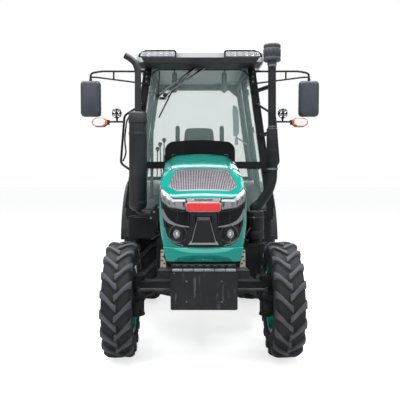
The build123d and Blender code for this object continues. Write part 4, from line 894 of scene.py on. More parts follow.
def buildTrim():
    # silver sweeps under the louvres, thick outside and thin inside
    points = [(306, 1246), (300, 1216), (284, 1180), (256, 1153), (216, 1135), (168, 1124), (106, 1118)]
    hoodPiece("frontSweeps", "satinSilver", "chrome", (addStripPair, points, front["sweepWidths"], -4, 8, 10),
              stands=("grille_frame",), bevel=2, angle=45)
    points = [(290, 1112), (282, 1072), (266, 1036), (240, 1010), (200, 991), (150, 981)]
    hoodPiece(
        "frontBrights", "chromePlate", "chrome",
        (addStripPair, [(44, 1180), (90, 1002)], front["trimWidth"], -3, 6), (addStripPair, points, 3.2, -2, 6),
        (addPatchPair, [(82, 988), (112, 986), (96, 1014)], -5, 6),
        (addPatch, [(-90, 988), (90, 988), (84, 1002), (-84, 1002)], -4, 6),
        (addPatch, [(-47, 1190), (47, 1190), (41, 1166), (-41, 1166)], -5, 6), bevel=1.2, angle=45)
    # pale bar over the sign, with a black strip as painted shade of its slot, and the sign plate, left bare
    hoodPiece("signBar", "satinSilver", "chrome",
              (addPatch, [(-128, 1325), (128, 1325), (120, 1300), (-120, 1300)], 0, 8), bevel=2, angle=50)
    # black strip where the slot opens: painted shade
    hoodPiece("signSlotShade", "blackPlastic", "black_plastic",
              (addPatch, [(-72, 1320), (72, 1320), (66, 1311), (-66, 1311)], -1, 2))
    frame = [(-132, 1289), (-112, 1298), (112, 1298), (132, 1289), (127, 1238), (106, 1227), (-106, 1227), (-127, 1238)]
    hoodPiece("signFrame", "satinSilver", "red_plastic", (addPatch, frame, -2, 8), bevel=2.5, angle=50)
    plate = [(-126, 1286), (-110, 1293), (110, 1293), (126, 1286), (122, 1241), (104, 1232), (-104, 1232), (-122, 1241)]
    hoodPiece("signPlate", "redPlastic", "red_plastic", (addPatch, plate, -6, 4), stands=("emblem_panel",), bevel=3,
              angle=50)


def buildHeadlamps():
    hoodPiece("lampBowls", "lampSilver", "lamp_lens", (addPatchPair, lampOutline, 11, 22, 14), stands=("front_lamps",),
              bevel=2, angle=50)
    points = [(136, 1311), (182, 1311), (224, 1310), (246, 1320), (280, 1352), (312, 1384)]
    hoodPiece("dayLights", "lampWhite", "lamp_lens", (addStripPair, points, front["dayLightWidths"], 3, 10, 10),
              bevel=2, angle=45)
    # four projectors a side, each a bowl, a ring and a glass eye
    bowl = [(0, -8), (8, -7), (14, -1), (17, 6), (18.5, 6), (18.5, -10), (0, -10)]
    bowls, hoods, eyes = bmesh.new(), bmesh.new(), bmesh.new()
    for side in sides:
        for x, z in zip(front["moduleAcross"], front["moduleHeight"]):
            centre = at(side * x, float(skinDepth(side * x, z)) + 10, z)
            addLathe(bowls, bowl, centre, toFront, 24)
            addLathe(hoods, [(18.5, -10), (21, -10), (21, 7), (18.5, 7)], centre, toFront, 24, True)
            addLathe(eyes, [(0, -4), (11, -4), (11, 0), (7, 4), (0, 6)], centre, toFront, 18)
        for x in (142, 150):
            depth = float(skinDepth(side * x, 1276))
            addBlock(hoods, (side * x - 2, side * x + 2), (depth - 2, depth + 8), (1256, 1300))
    putPiece("projectorBowls", bowls, "chromePlate", "lamp_lens", body="hood", smooth=50)
    putPiece("projectorHoods", hoods, "glossBlack", "lamp_lens", body="hood")
    putPiece("projectorEyes", eyes, "smokeGlass", "lamp_lens", body="hood", smooth=60)
    hoodPiece("lampCovers", "lampLens", "lamp_lens", (addPatchPair, lampOutline, -0.5, 2, 14), bevel=1.2, angle=50)
    # dark edge under the lens
    points = [(132, 1243), (196, 1250), (254, 1259), (290, 1284), (318, 1306), (331, 1350)]
    hoodPiece("lampEdges", "smokeSilver", "lamp_lens", (addStripPair, points, 5, -1, 6, 10))


def buildFogLamps():
    x, z = front["fog"]
    pocket = [(146, 1112), (200, 1120), (256, 1124), (274, 1100), (264, 1050), (236, 1012), (190, 992), (156, 990)]
    hoodPiece("fogPockets", "satinBlack", "black_plastic", (addPatchPair, pocket, 1, 8), bevel=2.5, angle=50)
    depth = float(skinDepth(x, z)) + 4
    # name, finish, slot, smooth angle, and for each part its profile, its count and whether it is a hoop
    for name, finish, slotName, smooth, parts in (
        ("fogRings", "glossBlack", "black_plastic", 50,
         (([(68, -14), (68, 2), (64, 7), (58, 6), (50, -3), (50, -14)], 44, True),
          ([(49, -8), (49, -1), (44, 1), (38, -3), (36, -10)], 40, True))),
        ("fogRims", "smokeSilver", "chrome", 50, (([(63, 6.5), (65.5, 6.5), (66, 8.6), (62.5, 8.6)], 44, True),)),
        ("fogBowls", "chromePlate", "lamp_lens", 50,
         (([(37, -2), (34, -8), (27, -15), (14, -20), (0, -22), (0, -25), (16, -23), (39, -8)], 32, False),
          ([(0, -22), (16, -20), (19, -6), (14, 1), (0, 4)], 24, False))),
        ("fogLenses", "lampLens", "lamp_lens", 60,
         (([(36, -2), (36, 1), (24, 6), (12, 8.5), (0, 9), (0, 7), (20, 5), (34, -2)], 32, False),)),
    ):
        hoodPiece(name, finish, slotName, *((addLathe, profile, at(side * x, depth, z), toFront, count, hoop)
                                            for side in sides for profile, count, hoop in parts), smooth=smooth)


buildFrontPlate()
buildTrim()
buildHeadlamps()
buildFogLamps()
print("front ready")


# Tyres: a turned carcass, near-black between the lugs as painted shade, and one curved lug for each side that the ring
# tree repeats
tyres = {
    # bar is half a lug's width, sweep how far a lug runs round, bolts their place and the radius of their circle
    "front": {"half": 120.5, "bead": 254.5, "crown": 446.5, "outer": 472.2, "bar": 20, "sweep": 111,
              "place": (665, 0.0, frontWheelZ), "bolts": (6, 92)},
    "rear": {"half": 189, "bead": 356, "crown": 649.5, "outer": 682.2, "bar": 26, "sweep": 174,
             "place": (650, rearAxleY - frontAxleY, rearWheelZ), "bolts": (-104, 112)},
}
tread = {
    "lugCount": 18, "foot": 7, "spread": 1.3, "soft": 2.6, "softFrom": 38, "carcassCount": 108, "boltCount": 8,
    # the tread's crown and the fall of its shoulder, then the same for the lugs' faces
    "crown": 5, "fallFrom": 0.62, "fall": 1.5, "fallPower": 2.2,
    "lugDrop": 2.5, "lugCrown": 3, "lugFallFrom": 0.60, "lugFall": 0.92, "lugFallPower": 2.0,
}
lugStations = (
    # share of the half-width, share of the sweep, share of the bar's width
    (-0.085, -0.50, 1.12), (0.03, -0.44, 1.10), (0.14, -0.34, 1.0), (0.28, -0.18, 0.94), (0.42, -0.01, 0.92),
    (0.55, 0.14, 0.94), (0.68, 0.27, 1.0), (0.80, 0.36, 1.08), (0.90, 0.42, 1.18), (0.985, 0.47, 1.32),
)
crownShares = (0, 0.2, 0.4, 0.55, 0.66, 0.76, 0.85, 0.92)
wallShares = (
    # share of the way from the bead to the shoulder, share of the half-width
    (0.78, 0.965), (0.60, 0.985), (0.46, 0.99), (0.32, 0.965), (0.27, 0.962), (0.25, 0.94), (0.13, 0.86), (0.06, 0.80),
    (0.04, 0.785), (0, 0.74),
)


# Radius of the tread between the lugs
def crownRadius(t, share):
    fall = max(0.0, abs(share) - tread["fallFrom"]) / (1 - tread["fallFrom"])
    depth = (t["outer"] - t["crown"]) * tread["fall"] * fall ** tread["fallPower"]
    return t["crown"] - tread["crown"] * share * share - depth


def lugShape(t, side):
    bm = bmesh.new()
    rows = []
    height = t["outer"] - t["crown"]
    for share, sweep, wide in lugStations:
        x = side * share * t["half"]
        fall = max(0.0, abs(share) - tread["lugFallFrom"]) / (1 - tread["lugFallFrom"])
        depth = height * tread["lugFall"] * fall ** tread["lugFallPower"]
        top = t["outer"] - tread["lugDrop"] - tread["lugCrown"] * share * share - depth
        foot = crownRadius(t, share) - tread["foot"]
        bar = t["bar"] * wide
        # section: foot, flank, shoulder and a slightly crowned face
        half = [(-bar * tread["spread"], foot), (-bar * 1.04, top - height * 0.25), (-bar, top - 2)]
        row = []
        for width, radius in half + [(0, top)] + [(-width, radius) for width, radius in reversed(half)]:
            y = sweep * t["sweep"] + width
            row.append(bm.verts.new(Vector((x, y, math.sqrt(max(radius * radius - y * y, 1)))) * mm))
        rows.append(row)
    for low, high in zip(rows, rows[1:]):
        for j in range(7):
            bm.faces.new([low[j], low[(j + 1) % 7], high[(j + 1) % 7], high[j]])
    bm.faces.new(rows[0][::-1])
    bm.faces.new(rows[-1])
    cleanShape(bm)
    edges = [e for e in bm.edges if len(e.link_faces) == 2 and e.calc_face_angle(0) > math.radians(tread["softFrom"])]
    bmesh.ops.bevel(bm, geom=edges, offset=tread["soft"] * mm, segments=2, profile=0.6, affect="EDGES",
                    clamp_overlap=True)
    return bm


def buildTyre(size, hand, place):
    t = tyres[size]
    count = tread["lugCount"]
    # the lugs of one flank stand half a step on from those of the other
    bm = joinMeshes([runTree(lugShape(t, flank), ringTree, "tyreRubber", {"Count": count, "First Turn": turn})
                     for flank, turn in ((-1, 0.0), (1, math.pi / count))])
    half, bead, shoulder = t["half"], t["bead"], crownRadius(t, 1.0)
    profile = [(crownRadius(t, share), share * half) for share in crownShares]
    profile.append((shoulder - 2, 0.955 * half))
    profile += [(bead + (shoulder - bead) * rise, wide * half) for rise, wide in wallShares]
    ring = [(r, -x) for r, x in reversed(profile[1:])] + profile
    # the carcass takes the second finish, near-black as painted shade between the lugs
    addLathe(bm, ring, Vector(), toLeft, tread["carcassCount"], True, 1)
    bmesh.ops.translate(bm, verts=bm.verts, vec=place)
    bmesh.ops.recalc_face_normals(bm, faces=bm.faces)
    putPiece(f"{size}Tyre{hand.capitalize()}", bm, ["tyreRubber", "tyreDark"], "tyre", (f"{size}_tyre_{hand}",),
             f"{size}_wheel_{hand}", smooth=34, clean=False)


def wheelBolts(size, hand, side, place):
    disc, radius = tyres[size]["bolts"]
    bm = bmesh.new()
    addBolt(bm, Vector((0, 0, radius * mm)), toLeft, 10, 12)
    bm = joinMeshes([runTree(bm, ringTree, "brightSteel", {"Count": tread["boltCount"], "First Turn": 0.2})])
    bmesh.ops.translate(bm, verts=bm.verts, vec=(disc * mm, 0, 0))
    if side < 0:
        bmesh.ops.scale(bm, vec=(-1, 1, 1), verts=bm.verts)
    bmesh.ops.translate(bm, verts=bm.verts, vec=place)
    putPiece(f"{size}Bolts{hand.capitalize()}", bm, "brightSteel", "steel", body=f"{size}_wheel_{hand}", smooth=30)


for wheelSize in ("front", "rear"):
    x, s, z = tyres[wheelSize]["place"]
    for wheelHand, wheelSide in (("left", 1), ("right", -1)):
        buildTyre(wheelSize, wheelHand, at(wheelSide * x, s, z))
        wheelBolts(wheelSize, wheelHand, wheelSide, at(wheelSide * x, s, z))
print("wheels ready")


# Round the front frame and the axle: ribbed row over the plate, brackets, bolts and engine fittings
chassis = {
    "humpCount": 8, "humpStep": 54, "lipCount": 6, "lipLength": 72, "lipGap": 4,
    "plateBolts": ((-125, 600), (125, 600), (-125, 745), (125, 745)), "kingpin": (545, 668), "kingpinBolts": 6,
    "bracketPlugs": ((291, 776), (312, 790), (299, 820), (315, 842), (308, 874), (315, 908)),
    # seal rings of the kingpin case: height, outer radius, depth
    "caseRings": ((540, 76, 14), (470, 74, 8), (352, 70, 14)), "caseInner": 66,
}


def repeated(bm, count, step, finish):
    return runTree(bm, rowTree, finish, {"Count": count, "Step": (step * mm, 0, 0)})


def buildSkirt():
    bar = [(-232, 824), (232, 824), (236, 838), (228, 853), (-228, 853), (-236, 838)]
    makePiece("skirtBar", "blackPlastic", "black_plastic", (addPrism, bar, -590, -552), bevel=3)
    count, step = chassis["humpCount"], chassis["humpStep"]
    first = -(count - 1) / 2 * step
    hump = [(-20, 826), (20, 826), (20, 838), (14, 848), (6, 852), (-6, 852), (-14, 848), (-20, 838)]
    bm = bmesh.new()
    addPrism(bm, [(first + x, z) for x, z in hump], -612, -580)
    putPiece("skirtHumps", repeated(bm, count, step, "satinBlack"), "satinBlack", "black_plastic", bevel=3, angle=30)
    count, length, gap = chassis["lipCount"], chassis["lipLength"], chassis["lipGap"]
    start = -(count * (length + gap) - gap) / 2
    bm = bmesh.new()
    addBlock(bm, (start, start + length), (-657, -611), (815, 829))
    putPiece("plateLip", repeated(bm, count, length + gap, "wornSteel"), "wornSteel", "black_paint", bevel=3)
    makePiece("plateBolts", "brightSteel", "steel",
              *((addBolt, at(x, -652, z), toFront, 6.2, 6) for x, z in chassis["plateBolts"]),
              (addBolt, at(203, -656, 707), toFront, 4, 3), (addBolt, at(-214, -656, 800), toFront, 4, 3), smooth=30)

    # pale punched brackets beside the radiator, and the frame's wings behind the plate
    bracket = [(276, 756), (324, 756), (326, 800), (324, 925), (302, 925), (300, 864), (290, 848), (284, 800)]
    makePiece("paleBrackets", "creamPaint", "black_paint", (addPrismPair, bracket, -345, -341),
              (addPrismPair, [(270, 760), (300, 760), (300, 772), (270, 772)], -341, -322), bevel=1.2)
    plug = [(0, -1), (7, -1), (7, 2), (5, 3.5), (2.5, 2), (0, 2)]
    makePiece("bracketPlugs", "wornBlack", "black_plastic", *((addLathe, plug, at(side * x, -345, z), toFront, 14)
              for side in sides for x, z in chassis["bracketPlugs"]))
    wing = [(176, 738), (330, 744), (334, 756), (334, 800), (322, 808), (236, 810), (176, 806)]
    makePiece("frameWings", "blackPaint", "black_paint", (addPrismPair, wing, -560, -440), bevel=5)

    # cross plates and fittings beside the engine
    plate = [(226, 640), (330, 604), (396, 610), (412, 640), (412, 880), (380, 930), (226, 930)]
    makePiece("enginePlates", "blackPaint", "black_paint", (addPrismPair, plate, 530, 538), bevel=2)
    back = (0, 1, 0)
    makePiece(
        "engineFittings", "castGrey", "cast_grey",
        (addLathe, [(0, 0), (40, 0), (48, 8), (48, 150), (42, 160), (30, 164), (0, 164)],
         at(-300, 470, 690), toTop, 28),
        (addLathe, [(0, 0), (50, 0), (56, 8), (56, 150), (50, 160), (24, 170), (22, 196), (0, 196)],
         at(300, 560, 700), back, 32),
        (addLathe, [(0, 0), (28, 0), (30, 6), (30, 110), (0, 112)], at(262, 570, 784), back, 22),
        (addLathe, [(0, 0), (64, 0), (70, 10), (70, 70), (60, 84), (30, 92), (0, 92)], at(290, 200, 985), back, 32),
        (addTube, [at(-226, 300, 1000), at(-262, 300, 1000), at(-270, 420, 900), at(-290, 500, 860)], 12, 10, 50),
        bevel=1.5, smooth=45)


def buildAxleDetails():
    across, height = chassis["kingpin"]
    bm = bmesh.new()
    addDisc(bm, 8, 6, Vector((0, 0, 52 * mm)), toLeft, 6)
    mesh = runTree(bm, ringTree, "wornBlack", {"Count": chassis["kingpinBolts"], "First Turn": 0.3})
    joined = bmesh.new()
    for side in sides:
        copy = mesh.copy()
        copy.transform(Matrix.Translation(at(side * across, 0, height)) @ Matrix.Rotation(math.radians(-90), 4, "Y"))
        joined.from_mesh(copy)
    putPiece("kingpinBolts", joined, "wornBlack", "cast_grey", smooth=30)
    inner = chassis["caseInner"]
    for hand, side in (("Left", 1), ("Right", -1)):
        rings = ((addLathe, [(inner, 0), (radius, 0), (radius, depth), (inner, depth)],
                  at(side * across, 0, z - depth), toTop, 36, True) for z, radius, depth in chassis["caseRings"])
        makePiece(f"caseDetails{hand}", "castGrey", "cast_grey", *rings,
                  (addLathe, [(0, 0), (30, 0), (34, 5), (34, 20), (26, 26), (0, 27)], at(side * across, -66, 430),
                   toFront, 24), (addBolt, at(side * 503, -58, 372), toFront, 7, 12),
                  body=f"knuckle_{hand.lower()}", smooth=35)


buildSkirt()
buildAxleDetails()
print("chassis ready")


# Cab: lamp bars over the windscreen, wiper, seals and what shows inside
cab = {
    "barFront": 728, "cellCount": 6, "cellStep": 58, "cellMiddle": (414, 2677), "wiperHub": (-352, 2318),
    "postLine": (765, 0.139, 1100), "sealRadius": 5.0, "sealHeights": (1150, 1500, 2000, 2586), "sealInset": 46,
    "sealCorner": 70,
    "seatCushion": {"size": (466, 440, 106), "place": (0, 1974, 1458), "lean": 0, "round": 34, "crown": 14,
                    "taper": 0.0, "fill": 0.75},
    "seatBackrest": {"size": (410, 120, 560), "place": (12, 2118, 1792), "lean": -9, "round": 38, "crown": 12,
                     "taper": 0.16, "fill": 0.7, "stands": ("seat_cushions",)},
    "padCells": 14, "wheelHub": (0, 1430, 1640), "wheelLean": 32, "wheelRadius": 190, "wheelGrip": 13.5,
    # levers at the right of the driver: across, behind, up, lean
    "levers": ((-392, 1560, 1895, 10), (-440, 1600, 1850, -14), (-472, 1640, 1800, 6)),
}
barOutline = [(234, 2642), (596, 2642), (599, 2656), (588, 2682), (566, 2704), (524, 2714), (252, 2714), (236, 2706)]
barInside = [(246, 2654), (582, 2654), (586, 2662), (576, 2680), (558, 2694), (520, 2702), (256, 2702), (248, 2696)]


def buildLampBars():
    near = cab["barFront"]
    makePiece("barCases", "blackPlastic", "lamp_lens", (addPrismPair, barOutline, near + 9, near + 51),
              stands=("roof_lamps",), bevel=4)
    makePiece("barBacks", "lampSilver", "lamp_lens", (addPrismPair, barInside, near + 7, near + 11), bevel=1)
    rings = [[at(side * x, near + 8, z) for x, z in barOutline] for side in sides]
    makePiece("barRims", "satinBlack", "lamp_lens", *((addTube, ring + ring[:2], 5.5, 10, 0) for ring in rings),
              smooth=60)
    makePiece("barLenses", "lampLens", "lamp_lens", (addPrismPair, barInside, near + 1.5, near + 3), bevel=1)
    cell = [(23, 0), (23, 1.5), (20, 2), (15, -3), (7, -5), (7, -2), (5, 0), (0, 1), (0, -8), (22, -6)]
    x, z = cab["cellMiddle"]
    joined = bmesh.new()
    for side in sides:
        bm = bmesh.new()
        addLathe(bm, cell, at(side * x - (cab["cellCount"] - 1) / 2 * cab["cellStep"], near + 6, z), toFront, 20)
        joined.from_mesh(repeated(bm, cab["cellCount"], cab["cellStep"], "chromePlate"))
    putPiece("barCells", joined, "chromePlate", "lamp_lens", smooth=50)
    makePiece("visorEnds", "paleGrey", "black_plastic",
              (addPrismPair, [(540, 2596), (598, 2594), (600, 2640), (580, 2642)], 719, 760), bevel=6, segments=3)


def buildWiper():
    x, z = cab["wiperHub"]
    dark, pale = bmesh.new(), bmesh.new()
    for first, last in ((-46, -428), (44, -356)):
        top, low = Vector((first, 0, 2598)), Vector((last, 0, 2322))
        mid = top.lerp(low, 0.46)
        addTube(dark, [at(top.x, 1014, top.z), at(mid.x, 1008, mid.z)], [13, 9], 10, 60)
        addTube(pale, [at(top.x + 8, 1002, top.z - 8), at(mid.x, 1000, mid.z), at(low.x, 1018, low.z)], 5.5, 10, 60)
        addLathe(dark, [(0, 0), (17, 0), (19, 8), (14, 18), (0, 20)], at(top.x, 1026, top.z + 4), toFront, 18)
        addLathe(dark, [(0, 0), (20, 0), (23, 6), (23, 16), (16, 24), (0, 26)], at(low.x, 1036, low.z), toFront, 24)
    for shift in (-34, 34):
        addLathe(pale, [(0, 0), (10, 0), (12, 5), (8, 12), (0, 13)], at(x - 30 + shift, 1014, z - 34), toFront, 18)
    addBlock(dark, (x - 84, x + 4), (1018, 1036), (z - 42, z - 18))
    putPiece("wiperArms", dark, "satinBlack", "black_plastic", smooth=50)
    putPiece("wiperRods", pale, "satinSilver", "steel", smooth=50)
    blade = [at(x - 60, 1030, z + 250), at(x - 72, 1028, z + 60), at(x - 66, 1030, z - 30)]
    makePiece("wiperBlade", "blackPlastic", "rubber", (addTube, blade, 5, 8, 90), smooth=50)
    # dark strip under the roof's front edge, painted shade of the roof's underside, and gutters down the front posts
    makePiece("visorUndersideShade", "blackPlastic", "black_plastic",
              (addPrism, [(-606, 2598), (606, 2598), (612, 2618), (-612, 2618)], 770, 1046), bevel=3)
    posts = [[at(side * (cabHalf(z) + 8), 1066, z) for z in (1160, 1500, 2000, 2560)] for side in sides]
    makePiece("postGutters", "blackPaint", "black_paint", *((addTube, post, 13, 10, 30) for post in posts), smooth=50)


# Half the width over the front posts at a height
def cabHalf(z):
    half, slope, foot = cab["postLine"]
    return half - slope * (z - foot)


def buildSeals():
    inset, corner, high = cab["sealInset"], cab["sealCorner"], cab["sealHeights"][-1]
    half = [(cabHalf(z) - inset, z) for z in (*cab["sealHeights"][:-1], high - corner)]
    half.append((cabHalf(high) - inset - corner, high))
    points = half + [(-x, z) for x, z in reversed(half)]
    routes = [[at(x, s, z) for x, z in points + points[:2]] for s in (1042, 1058)]
    makePiece("screenSeals", "blackPlastic", "rubber",
              *((addTube, route, cab["sealRadius"], 8, 30, 4) for route in routes), smooth=60)


# A round-ended post between two places
def addCapsule(bm, foot, top, radius, count=18):
    turns = [math.pi / 2 * i / 5 for i in range(1, 6)]
    profile = [(0, 0)] + [(radius * math.sin(turn), radius * (1 - math.cos(turn))) for turn in turns]
    profile += [(r, (top - foot).length / mm - h) for r, h in reversed(profile)]
    addLathe(bm, profile, foot, top - foot, count)


# A cushion about its own middle: rounded edges, crowned faces, sides that swell between the corners
def padShape(size, round, crown, taper):
    w, d, h = (value / 2 for value in size)
    bm = cubeGrid(cab["padCells"])
    for vert in bm.verts:
        u, v, n = vert.co
        spread = 1 - taper * (n + 1) / 2
        place = Vector((u * w * spread, v * d, n * h))
        limits = (w * spread - round, d - round, h - round)
        core = Vector([max(-limit, min(limit, value)) for limit, value in zip(limits, place)])
        away = place - core
        if away.length > tiny:
            away = away.normalized() * round
        inU, inV, inN = 1 - u * u, 1 - v * v, 1 - n * n
        vert.co = core + away + Vector((0.5 * u * inN * inV, v * inU * inN, n * inU * inV)) * crown
    return bm


def buildSeat():
    for name in ("seatCushion", "seatBackrest"):
        pad = cab[name]
        bm = padShape(pad["size"], pad["round"], pad["crown"], pad["taper"])
        turn = Matrix.Rotation(math.radians(pad["lean"]), 4, "X")
        move = Matrix.Translation(at(*pad["place"]))
        bmesh.ops.transform(bm, matrix=move @ turn @ Matrix.Scale(mm, 4), verts=bm.verts)
        piece = putPiece(name, bm, "seatCloth", "seat_cloth", pad.get("stands", ()), smooth=80)
    # piping and sewn channels on the seat and the back
    routes = [[at(x, 1770, 1508), at(x, 1974, 1520), at(x, 2090, 1514)] for x in (-120, 120)]
    for z in (1640, 1760, 1880):
        lean = (z - 1772) * math.tan(math.radians(9))
        routes.append([at(-150, 2056 + lean, z), at(0, 2050 + lean, z), at(150, 2056 + lean, z)])
    makePiece("seatPiping", "seatPiping", "seat_cloth", *((addTube, route, 4, 8, 60) for route in routes), smooth=60)


def buildInside():
    bm = bmesh.new()
    for side in sides:
        x = 18 + side * 268
        addCapsule(bm, at(x, 2010, 1500), at(x, 2010, 2098), 27)
        addTube(bm, [at(x, 2010, 1640), at(x - side * 40, 2080, 1640), at(x - side * 90, 2120, 1640)], 14, 12, 30)
    putPiece("seatPosts", bm, "blackPlastic", "black_plastic", smooth=60)
    # grips under the header, and the pale pad by the right-hand pillar
    bm = bmesh.new()
    for x in (-262, 262):
        addCapsule(bm, at(x, 1180, 2368), at(x, 1180, 2590), 27)
        addTube(bm, [at(x, 1180, 2470), at(x, 1120, 2560), at(x, 1110, 2600)], 9, 8, 30)
    putPiece("headerGrips", bm, "greyPlastic", "black_plastic", smooth=60)
    pad = [(402, 1950), (446, 1946), (470, 1990), (462, 2230), (440, 2290), (398, 2310), (392, 2240)]
    makePiece("pillarPad", "paleGrey", "black_plastic", (addPrism, pad, 1700, 1726),
              (addPrism, [(418, 1850), (456, 1850), (456, 1930), (418, 1930)], 1700, 1720),
              (addTube, [at(430, 1720, 1940), at(500, 1740, 1900), at(560, 1790, 1860)], 10, 8, 20),
              bevel=8, segments=3)
    # post at the right of the driver with its round head, and levers
    head = [(0, -12), (24, -12), (44, -4), (48, 6), (40, 20), (18, 28), (0, 30)]
    makePiece("cabPost", "blackPlastic", "black_plastic",
              (addTube, [at(-520, 1420, 1250), at(-520, 1420, 1900), at(-512, 1420, 2400)], 17, 14, 60),
              (addLathe, head, at(-512, 1420, 2400), toTop, 28),
              (addTube, [at(-512, 1420, 2310), at(-560, 1410, 2350), at(-610, 1380, 2370)], 7, 8, 30), smooth=50)
    makePiece("leverRods", "wornBlack", "steel", *((addTube, [at(x - lean, s + 20, 1480), at(x, s, z - 30)], 6, 8, 0)
              for x, s, z, lean in cab["levers"]), smooth=60)
    knob = [(0, -34), (9, -34), (14, -20), (22, -6), (24, 6), (18, 18), (8, 24), (0, 25)]
    makePiece("leverKnobs", "satinBlack", "black_plastic",
              *((addLathe, knob, at(x, s, z), toTop, 20) for x, s, z, lean in cab["levers"]), smooth=60)


def buildSteeringWheel():
    lean = math.radians(cab["wheelLean"])
    axis = Vector((0, math.sin(lean), math.cos(lean)))
    hub, grip = at(*cab["wheelHub"]), cab["wheelGrip"]
    turns = [2 * math.pi * i / 16 for i in range(16)]
    rim = [(cab["wheelRadius"] + grip * math.cos(turn), 10 + grip * math.sin(turn)) for turn in turns]
    bm = bmesh.new()
    addLathe(bm, rim, hub, axis, 72, True)
    side = Vector(toLeft)
    back = axis.cross(side).normalized()
    for turn in (90, 210, 330):
        way = side * math.cos(math.radians(turn)) + back * math.sin(math.radians(turn))
        spoke = [hub + way * reach * mm + axis * rise * mm for reach, rise in ((0, 4), (100, 2), (184, 10))]
        addTube(bm, spoke, [16, 12, 10, 9], 12, 60, flat=0.6)
    addLathe(bm, [(0, -29), (26, -29), (34, -18), (42, 4), (40, 14), (28, 19.5), (0, 20)], hub, axis, 36)
    putPiece("steeringWheel", bm, "satinBlack", "black_plastic", ("steering_wheel",), "steering_wheel", smooth=50)


buildLampBars()
buildWiper()
buildSeals()
buildSeat()
buildInside()
buildSteeringWheel()
print("cab ready")


# Fittings: exhaust, intake with its cleaners, rails, mirrors, side lamps and the brackets round them
fitting = {
    "exhaustPlace": (-600, 670), "bandHeights": (1240, 1900), "intakePlace": (688, 670),
    "ribHeights": (1640, 1740, 1840),
    # clamps of the intake pipe: height, radius, width
    "intakeClamps": ((1557, 52.8, 18), (2548, 38.2, 18), (1962, 38.4, 14)),
    "cleanerPlace": (520, 680), "clipTurns": (20, 140, 260), "preCleaner": 2558, "ribCount": 12, "railBack": 1000,
    "railBolts": (2450, 2502, 2556), "mirrorPlace": (1117, 2280.5), "sideLampPlace": (1020, 2038),
    "cloverPlace": (847, 2130), "cloverRadius": 22, "rearLampAcross": 799, "strapPlaces": (690, 1000),
    "bracketBolts": ((-395, 1196), (-440, 1150), (-372, 1110), (-470, 1092)),
}


def addClamp(bm, centre, radius, width=16, thick=3.5):
    addBand(bm, radius, radius + thick, width, centre, toTop)
    addBolt(bm, centre + Vector(toFront) * (radius + 2) * mm, toFront, 6, 9)


def buildExhaust():
    x, s = fitting["exhaustPlace"]
    muffler = [(0, 1163), (40, 1163), (62, 1172), (80, 1190), (85, 1206), (85, 1996), (91, 2000), (91, 2012),
               (89, 2084), (82, 2098), (66, 2105), (34, 2106), (0, 2106)]
    tail = [at(x, s, 2095), at(x, s, 2500), at(x - 22, s, 2572), at(x - 68, s, 2618), at(x - 122, s, 2648)]
    feed = [at(-227, s, 1128), at(-420, s, 1128), at(-560, s, 1128), at(x, s, 1150), at(x, s, 1180)]
    makePiece("exhaustPipes", "mufflerGrey", "black_paint", (addLathe, muffler, at(x, s, 0), toTop, 56),
              (addTube, tail, 31, 28, 60, 8), (addTube, feed, 22, 18, 60), stands=("exhaust",), smooth=45)
    mouth = (-0.871, 0, 0.49)
    heights = fitting["bandHeights"]
    makePiece("exhaustBands", "wornBlack", "black_paint",
              *((addBand, 84.5, 88.5, 28, at(x, s, z), toTop, 56) for z in heights),
              *((addBolt, at(x + 40, s - 79, z), (0.45, -0.9, 0), 6, 9) for z in heights),
              (addClamp, at(x, s, 2128), 30.5, 16, 4),
              (addLathe, [(24, 0), (31.5, 0), (31.5, 2.4), (24, 2.4)], at(x - 123, s, 2648.5), mouth, 28, True),
              smooth=35)
    # near-black disc across the pipe's mouth: painted shade of its hollow
    makePiece("exhaustMouthShade", "tyreDark", "black_paint", (addDisc, 24, 1.5, at(x - 122, s, 2648), mouth, 28), smooth=35)


